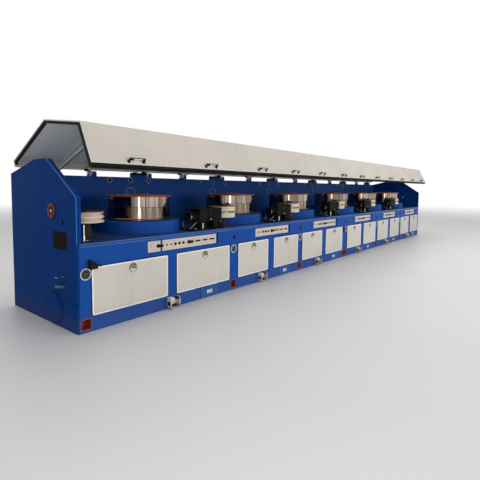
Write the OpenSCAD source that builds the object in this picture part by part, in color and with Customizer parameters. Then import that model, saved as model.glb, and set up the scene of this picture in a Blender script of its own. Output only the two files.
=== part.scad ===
// Straight-line wire drawing machine: six capstan blocks on one bed, each
// under its own lift-up hood, shown with every hood open.
// X runs along the line from the wire inlet to the outlet, Y to the back, Z up.
// Every module draws in bed coordinates, with zero at the front left foot of
// the bed; placed() then moves it so that the origin is the middle of the
// footprint on the floor.

/* [Line] */
// Number of drawing blocks in the line
block_count = 6; // [6:1:6]
// Blocks carried by the first bed section
first_section_blocks = 3; // [3:1:3]
// Length of the first bay, which also holds the wire inlet
inlet_bay_l = 2160; // [2100:10:2300]
// Length of every other bay
bay_l = 1640; // [1600:10:1800]
// Extra length where the two bed sections are bolted together
section_gap = 90; // [80:5:120]
// Depth of the bed from front to back
bed_d = 1380; // [1370:10:1500]

/* [Bed] */
// Height of the table above the floor
table_h = 811; // [800:1:850]
// Height of the folded lip on the table's front edge
lip_h = 36; // [24:1:40]
// How far the lip stands in front of the bed
lip_out = 10; // [6:1:20]
// Radius on the lip's edges
lip_r = 8; // [3:1:9]
// Height of the plinth below the doors
plinth_h = 145; // [140:1:180]
// Depth of the shallow recess behind the control plates
strip_d = 18; // [12:1:30]
// Distance of that recess below the table's lip
strip_drop = 7; // [4:1:12]
// Height of that recess
strip_h = 140; // [130:1:145]
// Height of the rail between the doors and that recess
rail_h = 38; // [32:1:46]

/* [Doors] */
// Thickness of a door panel
door_t = 34; // [20:1:40]
// How far a door stands in front of the bed
door_out = 6; // [3:1:12]
// Gap round a door
door_gap = 4; // [2:1:8]
// Corner radius of a door
door_r = 14; // [6:1:30]
// Width of an inlet bay door
inlet_door_w = 881; // [850:1:890]
// Post left of the first inlet bay door
inlet_post_w = 135; // [130:1:150]
// Post between the inlet bay doors
inlet_mid_w = 131; // [120:1:140]
// Width of every other door
door_w = 670; // [640:1:680]
// Post left of the first door of every other bay
post_w = 49; // [45:1:60]
// Post between the doors of every other bay
mid_w = 152; // [140:1:160]

/* [End panels and back wall] */
// Thickness of an end panel
end_t = 20; // [12:1:24]
// Width of the end panel's folded front edge
end_flange_w = 45; // [36:1:48]
// Thickness of the fold
end_fold_t = 10; // [6:1:16]
// Height at which the end panel starts to slope back
end_front_h = 1225; // [1200:5:1240]
// Slope of the end panel and of the hood's second panel
slope_a = 33.5; // [32:0.5:35]
// Depth at which the slope ends
slope_end_y = 540; // [500:10:560]
// Height of the back wall
wall_h = 1450; // [1430:5:1455]
// Thickness of the back wall
wall_t = 50; // [40:5:60]
// Radius of the round port behind each block
port_r = 62; // [50:1:80]
// Distance of the port below the wall's top
port_drop = 205; // [190:5:250]
// Distance of the port before the bay's right end
port_back = 680; // [660:5:700]
// Distance of the eyelets below the wall's top
eyelet_drop = 43; // [40:1:50]
// Radius of an eyelet
eyelet_r = 30; // [20:1:34]

/* [Hood] */
// Angle through which a hood is opened
hood_open = 26.5; // [20:0.5:28]
// Sheet thickness
hood_t = 4; // [3:0.5:6]
// How far the closed hood stands in front of the bed
hood_out = 35; // [30:1:40]
// Clearance between the closed hood's seal and the table
hood_gap = 6; // [5:1:10]
// Height of the hood's lower edge above its seal
seal_drop = 25; // [20:1:30]
// Depth of the seal frame inside the hood
seal_w = 38; // [30:1:40]
// Depth of the seal frame behind the hood's front panel
seal_front_w = 60; // [50:1:62]
// Height of the hood's vertical front panel
hood_front_h = 400; // [380:5:405]
// How far the hood's rear stands behind the bed
hood_rear_out = 5; // [2:1:20]
// Height of the hood's rear lower edge above the hinge
hood_rear_up = 55; // [45:1:70]
// Width of the first hood
inlet_hood_l = 2025; // [1990:1:2035]
// Gap between neighbouring hoods
hood_joint = 10; // [6:1:14]
// Height of the hinge axis above the back wall
hinge_up = 40; // [36:1:50]
// Distance of the hinge axis in front of the bed's back edge
hinge_in = 30; // [24:1:36]
// Radius of the hinge pin
hinge_pin_r = 12; // [8:1:14]
// Radial clearance of the hinge pin
hinge_clear = 0.05; // [0.03:0.01:0.1]
// Radius of the hinge ear
ear_r = 32; // [26:1:34]
// Thickness of the hinge ear
ear_t = 30; // [20:1:34]
// Length of a hood handle
handle_l = 165; // [140:5:180]
// Radius of the handle bar
handle_r = 9; // [7:0.5:11]

/* [Drum] */
// Radius of the drum's lower working face
drum_r = 354; // [340:1:356]
// Radius of the drum's upper face
drum_upper_r = 347; // [330:1:348]
// Radius of the drum's flared root
drum_root_r = 366; // [360:1:370]
// Height of the drum without its flange
drum_h = 256; // [250:1:270]
// Height of the step between the drum's two faces
drum_step_h = 138; // [120:1:150]
// Wall of the drum
drum_wall = 26; // [20:1:30]
// Radius of the drum's flange
flange_r = 372; // [370:1:380]
// Thickness of the flange
flange_t = 20; // [16:1:24]
// Radius of the spindle that carries the drum
spindle_r = 60; // [50:1:70]
// Radial clearance of the spindle
spindle_clear = 0.05; // [0.03:0.01:0.1]
// Distance of the drum's axis before the bay's right end
drum_back = 1045; // [1030:5:1050]
// Distance of the drum's axis behind the front
drum_y = 629; // [620:1:640]
// Radius of the round housing below the drum
base_r = 475; // [460:1:480]
// Height of that housing
base_h = 133; // [125:1:136]
// Gap between the housing and the drum
drum_gap = 8; // [6:1:10]

/* [Wire guides and die boxes] */
// Radius of a guide pulley
pulley_r = 170; // [160:1:172]
// Height of a guide pulley
pulley_h = 150; // [140:1:156]
// Height of the inlet pulley
inlet_pulley_h = 106; // [100:1:112]
// Depth of the inlet pulley's grooves
groove_d = 26; // [14:1:28]
// Height of the pulley's lower face above the table
pulley_up = 121; // [118:1:125]
// Radius of the pulley's axle
axle_r = 20; // [16:1:24]
// Radial clearance of the axle
axle_clear = 0.05; // [0.03:0.01:0.1]
// Distance of a pulley's axis before the bay's left end
pulley_back = 10; // [0:1:20]
// Distance of a pulley's axis behind the front
pulley_y = 230; // [226:1:240]
// Distance of the inlet pulley from the left end
inlet_pulley_x = 255; // [250:1:270]
// Distance of the inlet pulley behind the front
inlet_pulley_y = 300; // [290:1:310]
// Length of a die box
box_l = 395; // [360:1:398]
// Depth of a die box
box_d = 160; // [140:1:170]
// Height of a die box
box_h = 158; // [140:1:170]
// Height of the die box above the table
box_up = 99; // [90:1:110]
// Distance of the die box behind the front
box_y = 70; // [60:1:74]
// Space between the die box and the pulley
box_space = 12; // [8:1:16]
// Length of the die holder at the die box's inlet side
holder_l = 115; // [100:5:120]
// Radius of the die holder
holder_r = 50; // [40:1:56]

/* [Controls] */
// Length of a bay's control plate
plate_l = 838; // [820:1:845]
// Height of the control plates
plate_h = 116; // [100:1:120]
// Thickness of the control plates
plate_t = 3; // [2:0.5:5]
// Distance of the control plate's right end before the bay's end
plate_back = 360; // [350:5:370]
// Length of the inlet bay's small plate
small_plate_l = 162; // [150:1:166]
// Gap between the small plate and the long one
plate_space = 27; // [20:1:30]
// Height of the row of controls above the recess's lower edge
control_up = 72; // [62:1:82]
// Radius of a lamp or button
button_r = 15; // [10:0.5:17]
// Radius of a rotary switch
knob_r = 25; // [18:0.5:30]
// Radius of the round dials on the posts
dial_r = 54; // [44:1:56]
// Distance of the dials below the control recess
dial_drop = 93; // [88:1:108]
// Side of the square jacking pockets
pocket_s = 105; // [90:1:110]
// Height of the pockets above the floor
pocket_z = 22; // [16:1:30]
// Width of a foot switch
pedal_w = 132; // [120:1:140]
// Height of a foot switch
pedal_h = 130; // [110:1:140]
// Depth of a foot switch
pedal_d = 68; // [62:1:76]
// Distance of the foot switch before the bay's right end
pedal_back = 1085; // [1070:5:1100]

/* [Hidden] */
$fn = 48;
eps = 1;

machine_blue = "royalblue";
cream = "gainsboro";
seal_black = "#222222";
bare_steel = "silver";
oxide_red = "sienna";

function bay_right(i) = inlet_bay_l + i * bay_l + (i >= first_section_blocks ? section_gap : 0);
function bay_left(i) = i == 0 ? 0 : bay_right(i) - bay_l;
line_l = bay_right(block_count - 1);

function door_left(i, k) = i == 0
  ? inlet_post_w + k * (inlet_door_w + inlet_mid_w)
  : bay_left(i) + post_w + k * (door_w + mid_w);
function door_width(i) = i == 0 ? inlet_door_w : door_w;
function doors_right(i) = door_left(i, 1) + door_width(i);
// The first bed section ends in the middle of the double post.
section_x = (doors_right(first_section_blocks - 1) + door_left(first_section_blocks, 0)) / 2;
function post_middle(i) = i == 0
  ? (end_t + inlet_post_w) / 2
  : ((i == first_section_blocks ? section_x : doors_right(i - 1)) + door_left(i, 0)) / 2;
last_post_middle = (doors_right(first_section_blocks - 1) + section_x) / 2;

table_under = table_h - lip_h;
strip_z = table_under - strip_drop - strip_h;
control_z = strip_z + control_up;
dial_z = strip_z - dial_drop;
door_h = strip_z - rail_h - plinth_h;
wall_y = bed_d - wall_t;
end_slope_h = slope_end_y * tan(slope_a);
end_top_h = end_front_h + end_slope_h;
drum_z = table_h + base_h + drum_gap;
flange_z = drum_z + drum_h;
pulley_top = pulley_up + pulley_h;
function pulley_low(i) = i == 0 ? pulley_top - inlet_pulley_h : pulley_up;
function drum_x(i) = bay_right(i) - drum_back;
function pulley_pos(i) = i == 0
  ? [inlet_pulley_x, inlet_pulley_y]
  : [bay_left(i) - pulley_back, pulley_y];
function box_right(i) = pulley_pos(i)[0] - pulley_r - box_space;

port_z = wall_h - port_drop;
eyelet_z = wall_h - eyelet_drop;
hinge_y = bed_d - hinge_in;
hinge_z = wall_h + hinge_up;
hood_low_z = table_h + hood_gap + seal_drop;
hood_corner_z = hood_low_z + hood_front_h;
hood_slope_y = slope_end_y + hood_out;
hood_top_z = hood_corner_z + hood_slope_y * tan(slope_a);
hood_rear_y = bed_d + hood_rear_out;
hoods_left = end_flange_w + hood_joint / 2;
other_hood_l = (line_l - 2 * hoods_left - inlet_hood_l) / (block_count - 1);
function hood_left(i) = i == 0 ? hoods_left : hoods_left + inlet_hood_l + (i - 1) * other_hood_l;
function hood_right(i) = hoods_left + inlet_hood_l + i * other_hood_l;
// Distances of the two hinges before the hood's right end
inlet_hinge_back = [1170, 305];
other_hinge_back = [1300, 405];
function hinge_xs(i) = [for (b = i == 0 ? inlet_hinge_back : other_hinge_back) hood_right(i) - b];
// The first hood's handles sit a little to the left of its middle.
inlet_handle_shift = -50;
function handle_xs(i) = [for (s = [-1, 1]) (hood_left(i) + hood_right(i)) / 2
  + s * (hood_right(i) - hood_left(i) - hood_joint) / 4 + (i == 0 ? inlet_handle_shift : 0)];
function arm_xs(i) = [hood_left(i) + arm_in, hood_right(i) - arm_in];

module placed() {
  translate([-line_l / 2, -bed_d / 2, 0]) children();
}

module box_at(x, y, z, l, d, h) {
  translate([x, y, z]) cube([l, d, h]);
}

// A plate with round corners that stands upright and faces the front.
module front_plate(x, z, l, h, y_front, t, r) {
  translate([x, y_front + t, z]) rotate([90, 0, 0])
    linear_extrude(t) rounded_rect(l, h, r);
}

module rounded_rect(l, h, r) {
  union() {
    translate([r, 0]) square([l - 2 * r, h]);
    translate([0, r]) square([l, h - 2 * r]);
    for (x = [r, l - r], y = [r, h - r]) translate([x, y]) circle(r);
  }
}

// Bed
module bed(x0, x1, first, last, posts) {
  difference() {
    union() {
      box_at(x0, 0, 0, x1 - x0, bed_d, table_under);
      for (i = [first : last]) rear_cover(i);
    }
    for (i = [first : last], k = [0, 1]) door_recess(i, k);
    for (i = [first : last]) control_recess(i);
    for (x = posts) {
      box_at(x - pocket_s / 2, -eps, pocket_z, pocket_s, pocket_depth + eps, pocket_s);
      dial_hole(x);
    }
  }
}

pocket_depth = 90;
dial_depth = 30;
rear_cover_t = 6;
rear_cover_l = 1100;
rear_cover_h = 420;
door_recess_d = door_t - door_out;

module rear_cover(i) {
  x = bay_right(i) - drum_back - rear_cover_l / 2;
  z = plinth_h;
  translate([x + rear_cover_l, bed_d, z]) rotate([90, 0, 180])
    linear_extrude(rear_cover_t) rounded_rect(rear_cover_l, rear_cover_h, door_r);
}

module door_recess(i, k) {
  front_plate(door_left(i, k) - door_gap, plinth_h - door_gap,
    door_width(i) + 2 * door_gap, door_h + 2 * door_gap,
    -eps, door_recess_d + eps, door_r + door_gap);
}

strip_pad = 20;

module control_recess(i) {
  right = bay_right(i) - plate_back;
  left = right - plate_l - (i == 0 ? plate_space + small_plate_l : 0);
  box_at(left - strip_pad, -eps, strip_z, right - left + 2 * strip_pad, strip_d + eps, strip_h);
}

module dial_hole(x) {
  translate([x, dial_depth, dial_z]) rotate([90, 0, 0]) cylinder(r = dial_r, h = dial_depth + eps);
}

module bed_first_section() {
  posts = concat([for (i = [0 : first_section_blocks - 1]) post_middle(i)], [last_post_middle]);
  color(machine_blue) placed() bed(end_t, section_x, 0, first_section_blocks - 1, posts);
}

module bed_second_section() {
  posts = [for (i = [first_section_blocks : block_count - 1]) post_middle(i)];
  color(machine_blue) placed()
    bed(section_x, line_l - end_t, first_section_blocks, block_count - 1, posts);
}

// Table with its folded front lip
module table(x0, x1) {
  translate([x0, 0, table_under]) rotate([90, 0, 90]) linear_extrude(x1 - x0) union() {
    translate([-lip_out + lip_r, 0]) square([wall_y + lip_out - lip_r, lip_h]);
    translate([-lip_out, lip_r]) square([lip_out, lip_h - 2 * lip_r]);
    for (z = [lip_r, lip_h - lip_r]) translate([-lip_out + lip_r, z]) circle(lip_r);
  }
}

module table_first_section() {
  color(machine_blue) placed() table(end_t, section_x);
}

module table_second_section() {
  color(machine_blue) placed() table(section_x, line_l - end_t);
}

// Back wall
module back_wall(x0, x1) {
  box_at(x0, wall_y, table_under, x1 - x0, wall_t, wall_h - table_under);
}

module back_wall_first_section() {
  color(machine_blue) placed() back_wall(end_t, section_x);
}

module back_wall_second_section() {
  color(machine_blue) placed() back_wall(section_x, line_l - end_t);
}

// End panels: a full-height plate with a folded edge along its front and slope
end_level_l = 260;

module end_outline() {
  polygon([[0, 0], [bed_d, 0], [bed_d, wall_h], [slope_end_y + end_level_l, end_top_h],
    [slope_end_y, end_top_h], [0, end_front_h]]);
}

module end_fold_outline() {
  polygon([[0, table_h], [0, end_front_h], [slope_end_y, end_top_h],
    [slope_end_y, end_top_h - 2 * end_fold_t], [end_fold_t, end_front_h - end_fold_t / 2],
    [end_fold_t, table_h]]);
}

module end_panel() {
  rotate([90, 0, 90]) {
    linear_extrude(end_t) end_outline();
    linear_extrude(end_flange_w) end_fold_outline();
  }
}

inlet_window_y = 170;
inlet_window_drop = 76;
inlet_window_z = table_h - inlet_window_drop;
inlet_window_d = 270;
inlet_window_h = 165;
inlet_window_depth = 14;
wire_eye_y = 440;
wire_eye_up = 279;
wire_eye_z = table_h + wire_eye_up;
wire_eye_r = 30;

module wire_eye_hole() {
  translate([-eps, wire_eye_y, wire_eye_z]) rotate([0, 90, 0])
    cylinder(r = wire_eye_r, h = end_t + 2 * eps);
}

module end_panel_inlet() {
  color(machine_blue) placed() difference() {
    end_panel();
    box_at(-eps, inlet_window_y, inlet_window_z, inlet_window_depth + eps, inlet_window_d,
      inlet_window_h);
    wire_eye_hole();
  }
}

module end_panel_outlet() {
  color(machine_blue) placed() translate([line_l, 0, 0]) mirror([1, 0, 0]) difference() {
    end_panel();
    wire_eye_hole();
  }
}

// Fittings of the inlet end: the wire eye's ring, two round covers, a latch and a lock
eye_ring_r = 74;
eye_ring_out = 16;
eye_ring_lip = 9;
eye_throat = 12;
cover_y = 430;
cover_z = 170;
cover_r = 150;
cover_out = 16;
cover_step_r = 118;
cover_step_out = 7;
cover_edge = 3;
flange_cover_y = 72;
flange_cover_z = 200;
flange_cover_r = 68;
flange_cover_out = 12;
flange_cover_step_r = 41;
latch_y = 195;
latch_z = 394;
latch_l = 190;
latch_h = 27;
latch_out = 22;
latch_a = 10;
lock_y = 256;
lock_up = 183;
lock_z = table_h + lock_up;
lock_r = 16;
lock_out = 14;

module at_inlet_end(y, z) {
  translate([0, y, z]) rotate([0, -90, 0]) children();
}

module wire_eye_ring() {
  at_inlet_end(wire_eye_y, wire_eye_z) rotate_extrude($fn = 64) polygon(concat(
    [[wire_eye_r, 0], [eye_ring_r, 0], [eye_ring_r, eye_ring_out - eye_ring_lip]],
    [for (a = [0 : 30 : 90]) [eye_ring_r - eye_ring_lip + eye_ring_lip * cos(a),
      eye_ring_out - eye_ring_lip + eye_ring_lip * sin(a)]],
    [[wire_eye_r + eye_throat, eye_ring_out], [wire_eye_r, eye_ring_out - eye_throat]]));
}

module stepped_cover(y, z, r, out, step_r, step_out) {
  at_inlet_end(y, z) rotate_extrude($fn = 64)
    polygon([[0, 0], [r, 0], [r, out - cover_edge], [r - cover_edge, out], [step_r, out],
      [step_r - step_out, out + step_out], [0, out + step_out]]);
}

module end_covers() {
  color(machine_blue) placed() {
    stepped_cover(cover_y, cover_z, cover_r, cover_out, cover_step_r, cover_step_out);
    stepped_cover(flange_cover_y, flange_cover_z, flange_cover_r, flange_cover_out,
      flange_cover_step_r, cover_step_out);
  }
}

module end_fittings() {
  color(oxide_red) placed() {
    wire_eye_ring();
    translate([-latch_out, latch_y, latch_z]) rotate([-latch_a, 0, 0])
      cube([latch_out, latch_l, latch_h]);
    at_inlet_end(lock_y, lock_z) cylinder(r = lock_r, h = lock_out);
  }
}

// Lift-off door panels
module doors(first, last) {
  for (i = [first : last], k = [0, 1])
    front_plate(door_left(i, k), plinth_h, door_width(i), door_h, -door_out, door_t, door_r);
}

module doors_first_section() {
  color(cream) placed() doors(0, first_section_blocks - 1);
}

module doors_second_section() {
  color(cream) placed() doors(first_section_blocks, block_count - 1);
}

pull_r = 46;
pull_t = 5;
pull_drop = 67;
pull_bar = 8;

module door_pull(x, z) {
  translate([x, -door_out, z]) rotate([90, 0, 0]) {
    difference() {
      cylinder(r = pull_r, h = pull_t);
      translate([0, 0, -eps]) cylinder(r = pull_r - pull_bar, h = pull_t + 2 * eps);
    }
    translate([-pull_r + pull_bar / 2, -pull_bar / 2, 0])
      cube([2 * pull_r - pull_bar, pull_bar, pull_t]);
  }
}

module door_pulls() {
  color(bare_steel) placed() for (i = [0 : block_count - 1], k = [0, 1])
    door_pull(door_left(i, k) + door_width(i) / 2, plinth_h + door_h - pull_drop);
}

// The black wedge-shaped catch over the corner of the first door, with its pull rod and eye
catch_x = 103;
catch_l = 72;
catch_h = 88;
catch_d = 46;
catch_over = 11;
catch_z = plinth_h + door_h - catch_over;
catch_nose_z = 43;
catch_gap = 0.3;
catch_rod_r = 5;
catch_rod_l = 32;
catch_rod_up = 22;
eye_r = 11;
eye_hole_r = 5;
eye_t = 7;
eye_sink = 2;

module door_catch() {
  door_top = plinth_h + door_h - catch_z;
  wedge = [[0, 0], [0, catch_h], [catch_l, catch_nose_z], [catch_l, 0]];
  front = door_out + catch_gap;
  color(seal_black) placed() translate([catch_x, 0, catch_z]) rotate([90, 0, 0]) union() {
    translate([0, 0, front]) linear_extrude(catch_d - front) polygon(wedge);
    linear_extrude(front + eps) intersection() {
      polygon(wedge);
      translate([0, door_top + door_gap]) square([catch_l, catch_h]);
    }
    translate([catch_l - eps, catch_rod_up, (front + catch_d) / 2]) rotate([0, 90, 0])
      cylinder(r = catch_rod_r, h = catch_rod_l + eps);
    translate([catch_l + catch_rod_l + eye_r - eye_sink, catch_rod_up, (front + catch_d - eye_t) / 2])
      difference() {
        cylinder(r = eye_r, h = eye_t);
        translate([0, 0, -eps]) cylinder(r = eye_hole_r, h = eye_t + 2 * eps);
      }
  }
}

// Control plates and what stands on them
plate_z = strip_z + (strip_h - plate_h) / 2;
plate_y = strip_d - plate_t;

module control_plates() {
  color("tan") placed() {
    for (i = [0 : block_count - 1])
      box_at(bay_right(i) - plate_back - plate_l, plate_y, plate_z, plate_l, plate_t, plate_h);
    box_at(bay_right(0) - plate_back - plate_l - plate_space - small_plate_l, plate_y, plate_z,
      small_plate_l, plate_t, plate_h);
  }
}

button_out = 14;
knob_out = 26;
// Distances from the plate's right end to its lamps, buttons, switch and small keys
first_button_back = 777;
button_pitch = 59;
button_count = 5;
knob_back = 457;
first_key_back = 322;
key_pitch = 117;
key_count = 3;
key_r = 12;
small_knob_back = 30;

module round_control(x, r, out) {
  translate([x, plate_y, control_z]) rotate([90, 0, 0]) cylinder(r = r, h = out);
}

module controls() {
  color(seal_black) placed() {
    for (i = [0 : block_count - 1]) {
      right = bay_right(i) - plate_back;
      for (k = [0 : button_count - 1])
        round_control(right - first_button_back + k * button_pitch, button_r, button_out);
      for (k = [0 : key_count - 1])
        round_control(right - first_key_back + k * key_pitch, key_r, button_out);
      round_control(right - knob_back, knob_r, knob_out);
    }
    round_control(bay_right(0) - plate_back - plate_l - plate_space - small_knob_back, knob_r, knob_out);
  }
}

dial_clear = 0.3;
dial_lip = 4;
dial_face_in = 6;
dial_rim = 9;

module post_dial(x) {
  translate([x, dial_depth, dial_z]) rotate([90, 0, 0]) difference() {
    cylinder(r = dial_r - dial_clear, h = dial_depth + dial_lip);
    translate([0, 0, dial_depth - dial_face_in])
      cylinder(r = dial_r - dial_rim, h = dial_lip + dial_face_in + eps);
  }
}

module post_dials() {
  color("dimgray") placed() for (i = [0 : block_count - 1]) post_dial(post_middle(i));
}

pocket_wall = 6;

module jacking_pocket(x) {
  translate([x - pocket_s / 2, 0, pocket_z]) difference() {
    cube([pocket_s, pocket_depth, pocket_s]);
    translate([pocket_wall, -eps, pocket_wall])
      cube([pocket_s - 2 * pocket_wall, pocket_depth - pocket_wall + eps, pocket_s - 2 * pocket_wall]);
  }
}

module jacking_pockets() {
  color("orangered") placed() {
    for (i = [0 : block_count - 1]) jacking_pocket(post_middle(i));
    jacking_pocket(last_post_middle);
  }
}

pedal_wall = 8;
pedal_back_wall = 10;
pedal_plate_t = 14;
pedal_nose_r = 30;
pedal_mouth = 96;
tread_t = 10;
tread_l = 44;
tread_rise = 12;

// Side outline: flat back against the bed, level top, rounded nose, open towards the front
module foot_switch_outline() {
  polygon(concat([[0, 0], [-pedal_d, 0], [-pedal_d, pedal_h - pedal_nose_r]],
    [for (a = [180 : -22.5 : 90]) [-pedal_d + pedal_nose_r * (1 + cos(a)),
      pedal_h - pedal_nose_r * (1 - sin(a))]],
    [[0, pedal_h]]));
}

module foot_switch(x) {
  inner_w = pedal_w - 2 * pedal_wall;
  translate([x - pedal_w / 2, 0, 0]) rotate([90, 0, 90]) union() {
    difference() {
      linear_extrude(pedal_w) foot_switch_outline();
      translate([0, 0, pedal_wall]) linear_extrude(inner_w)
        polygon([[-pedal_back_wall, pedal_plate_t], [-pedal_d - eps, pedal_plate_t],
          [-pedal_d - eps, pedal_mouth], [-pedal_back_wall, pedal_h - pedal_wall]]);
    }
    translate([0, 0, pedal_wall - eps]) linear_extrude(inner_w + 2 * eps)
      polygon([[-pedal_back_wall + eps, pedal_plate_t - eps],
        [-pedal_back_wall + eps, pedal_plate_t + tread_rise + tread_t],
        [-pedal_back_wall - tread_l, pedal_plate_t + tread_t],
        [-pedal_back_wall - tread_l, pedal_plate_t - eps]]);
  }
}

module foot_switches() {
  color("gray") placed() for (i = [0 : block_count - 1]) foot_switch(bay_right(i) - pedal_back);
}

// Round blue housing under each drum, with the drum's seal ring and spindle
housing_round = 16;
seal_ring_r = 340;
seal_ring_h = 2;
spindle_h = 250;

module drum_housing(i) {
  translate([drum_x(i), drum_y, table_h]) rotate_extrude($fn = 96) polygon(concat(
    [[0, 0], [base_r, 0], [base_r, base_h - housing_round]],
    [for (a = [0 : 30 : 90])
      [base_r - housing_round + housing_round * cos(a), base_h - housing_round + housing_round * sin(a)]],
    [[seal_ring_r, base_h], [seal_ring_r, base_h + seal_ring_h], [spindle_r, base_h + seal_ring_h],
      [spindle_r, base_h + spindle_h], [0, base_h + spindle_h]]));
}

module drum_housings() {
  color(machine_blue) placed() for (i = [0 : block_count - 1]) drum_housing(i);
}

// Drum: a turned steel shell with a flared root, a step and a hub on the spindle
hub_r = 95;
web_t = 22;
root_h = 7;
root_blend = 16;
step_lean = 4;

module drum(i) {
  bore_r = spindle_r + spindle_clear;
  translate([drum_x(i), drum_y, drum_z]) rotate_extrude($fn = 96) polygon(concat(
    [[bore_r, 0], [hub_r, 0], [hub_r, drum_h - web_t], [drum_upper_r - drum_wall, drum_h - web_t],
      [drum_upper_r - drum_wall, 0], [drum_root_r, 0], [drum_root_r, root_h]],
    [for (a = [0 : 22.5 : 90])
      [drum_r + (drum_root_r - drum_r) * (1 - sin(a)), root_h + root_blend * (1 - cos(a))]],
    [[drum_r, drum_step_h], [drum_upper_r, drum_step_h + step_lean], [drum_upper_r, drum_h],
      [bore_r, drum_h]]));
}

module one_drum(i) {
  color(bare_steel) placed() drum(i);
}

// Flange: a thin disc with a rolled edge, a hub cap and the red wire clip below its edge
cap_r = 115;
cap_h = 16;
cap_lean = 20;
clip_l = 50;
clip_h = 28;
clip_out = 20;
clip_a = 174;

module drum_flange(i) {
  color(oxide_red) placed() translate([drum_x(i), drum_y, flange_z]) union() {
    rotate_extrude($fn = 96) polygon(concat(
      [[0, 0]],
      [for (a = [-90 : 30 : 90])
        [flange_r - flange_t / 2 + flange_t / 2 * cos(a), flange_t / 2 + flange_t / 2 * sin(a)]],
      [[cap_r + cap_lean, flange_t], [cap_r, flange_t + cap_h], [0, flange_t + cap_h]]));
    rotate([0, 0, clip_a]) translate([drum_upper_r, -clip_l / 2, -clip_h])
      cube([clip_out, clip_l, clip_h + flange_t / 2]);
  }
}

// Inlet pulley: three rims with two V grooves between them
pulley_rim = 12;
groove_w = (inlet_pulley_h - 3 * pulley_rim) / 2;

module inlet_pulley_profile(bore_r) {
  polygon([[bore_r, 0], [pulley_r, 0], [pulley_r, inlet_pulley_h], [bore_r, inlet_pulley_h]]);
}

module inlet_pulley_groove(k) {
  z = pulley_rim + k * (pulley_rim + groove_w);
  polygon([[pulley_r + eps, z], [pulley_r, z], [pulley_r - groove_d, z + groove_w / 2],
    [pulley_r, z + groove_w], [pulley_r + eps, z + groove_w]]);
}

// Every other pulley: two discs with rounded rims and a shallow wire groove each
disc_h = 62;
disc_rim_r = 8;
disc_hub_r = 88;
wire_groove_r = 7;

module disc_outline(bore_r) {
  difference() {
    polygon(concat([[bore_r, 0]],
      [for (a = [-90 : 30 : 0]) [pulley_r + disc_rim_r * (cos(a) - 1), disc_rim_r * (1 + sin(a))]],
      [for (a = [0 : 30 : 90]) [pulley_r + disc_rim_r * (cos(a) - 1), disc_h - disc_rim_r * (1 - sin(a))]],
      [[bore_r, disc_h]]));
    translate([pulley_r, disc_h / 2]) circle(wire_groove_r, $fn = 16);
  }
}

module double_pulley_profile(bore_r) {
  disc_outline(bore_r);
  translate([0, pulley_h - disc_h]) disc_outline(bore_r);
  translate([bore_r, 0]) square([disc_hub_r - bore_r, pulley_h]);
}

module guide_pulley(i) {
  p = pulley_pos(i);
  bore_r = axle_r + axle_clear;
  color("wheat") placed() translate([p[0], p[1], table_h + pulley_low(i)]) rotate_extrude($fn = 96) {
    if (i == 0) difference() {
      inlet_pulley_profile(bore_r);
      for (k = [0, 1]) inlet_pulley_groove(k);
    }
    else double_pulley_profile(bore_r);
  }
}

// Pulley stand: flange, tapered post and axle with the nut that keeps the pulley on
stand_foot_r = 62;
stand_r = 42;
stand_flange_r = 90;
stand_flange_h = 14;
stand_gap = 5;
axle_shoulder_r = 32;
nut_r = 34;
nut_h = 16;
nut_gap = 0.3;

module pulley_stand(i) {
  p = pulley_pos(i);
  low = pulley_low(i);
  nut_z = pulley_top + nut_gap;
  translate([p[0], p[1], table_h]) rotate_extrude($fn = 64) polygon([[0, 0], [stand_flange_r, 0],
    [stand_flange_r, stand_flange_h], [stand_foot_r, stand_flange_h], [stand_r, low - stand_gap],
    [axle_shoulder_r, low - stand_gap], [axle_shoulder_r, low - nut_gap], [axle_r, low - nut_gap],
    [axle_r, nut_z], [nut_r, nut_z], [nut_r, nut_z + nut_h], [0, nut_z + nut_h]]);
}

// A bright guide pin with its collar, on a foot plate in front of the inlet pulley
pin_r = 7;
pin_h = 148;
pin_x = 129;
pin_y = 112;
pin_collar_r = 11;
pin_collar_h = 48;
pin_foot = [100, 60, 8];

module guide_pin() {
  translate([pin_x - pin_foot[0] / 2, pin_y - pin_foot[1] / 2, table_h]) cube(pin_foot);
  translate([pin_x, pin_y, table_h]) union() {
    cylinder(r = pin_r, h = pin_foot[2] + pin_h);
    cylinder(r = pin_collar_r, h = pin_foot[2] + pin_collar_h);
  }
}

module pulley_stands() {
  color("dimgray") placed() {
    for (i = [0 : block_count - 1]) pulley_stand(i);
    union() guide_pin();
  }
}

// Die boxes: a tub with round corners, a lid with an overhang, a hinge barrel at the
// back, and on the inlet side the die holder with its clamp nut and wire funnel
box_r = 14;
lid_t = 14;
lid_over = 4;
lid_seam = 3;
barrel_r = 9;
barrel_share = 0.6;
funnel_r = 32;
funnel_end_r = 8;
funnel_l = 40;
nut_across = 62;
nut_l = 26;
nut_back = 72;
holder_drop = 15;
flange_out_r = 66;
holder_flange_t = 12;
outlet_r = 30;
outlet_l = 8;

module rounded_block(x, y, z, l, d, h, r) {
  translate([x, y, z]) linear_extrude(h) rounded_rect(l, d, r);
}

module die_holder(x0, y, z) {
  difference() {
    translate([x0 - holder_l, y, z]) rotate([0, 90, 0]) union() {
      cylinder(r = holder_r, h = holder_l + eps);
      translate([0, 0, holder_l - holder_flange_t]) cylinder(r = flange_out_r, h = holder_flange_t);
      translate([0, 0, holder_l - nut_back]) cylinder(r = nut_across, h = nut_l, $fn = 6);
    }
    translate([x0 - holder_l, y, z]) rotate([0, 90, 0]) rotate_extrude()
      polygon([[0, -eps], [funnel_r, -eps], [funnel_r, 0], [funnel_end_r, funnel_l], [0, funnel_l]]);
  }
}

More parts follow.
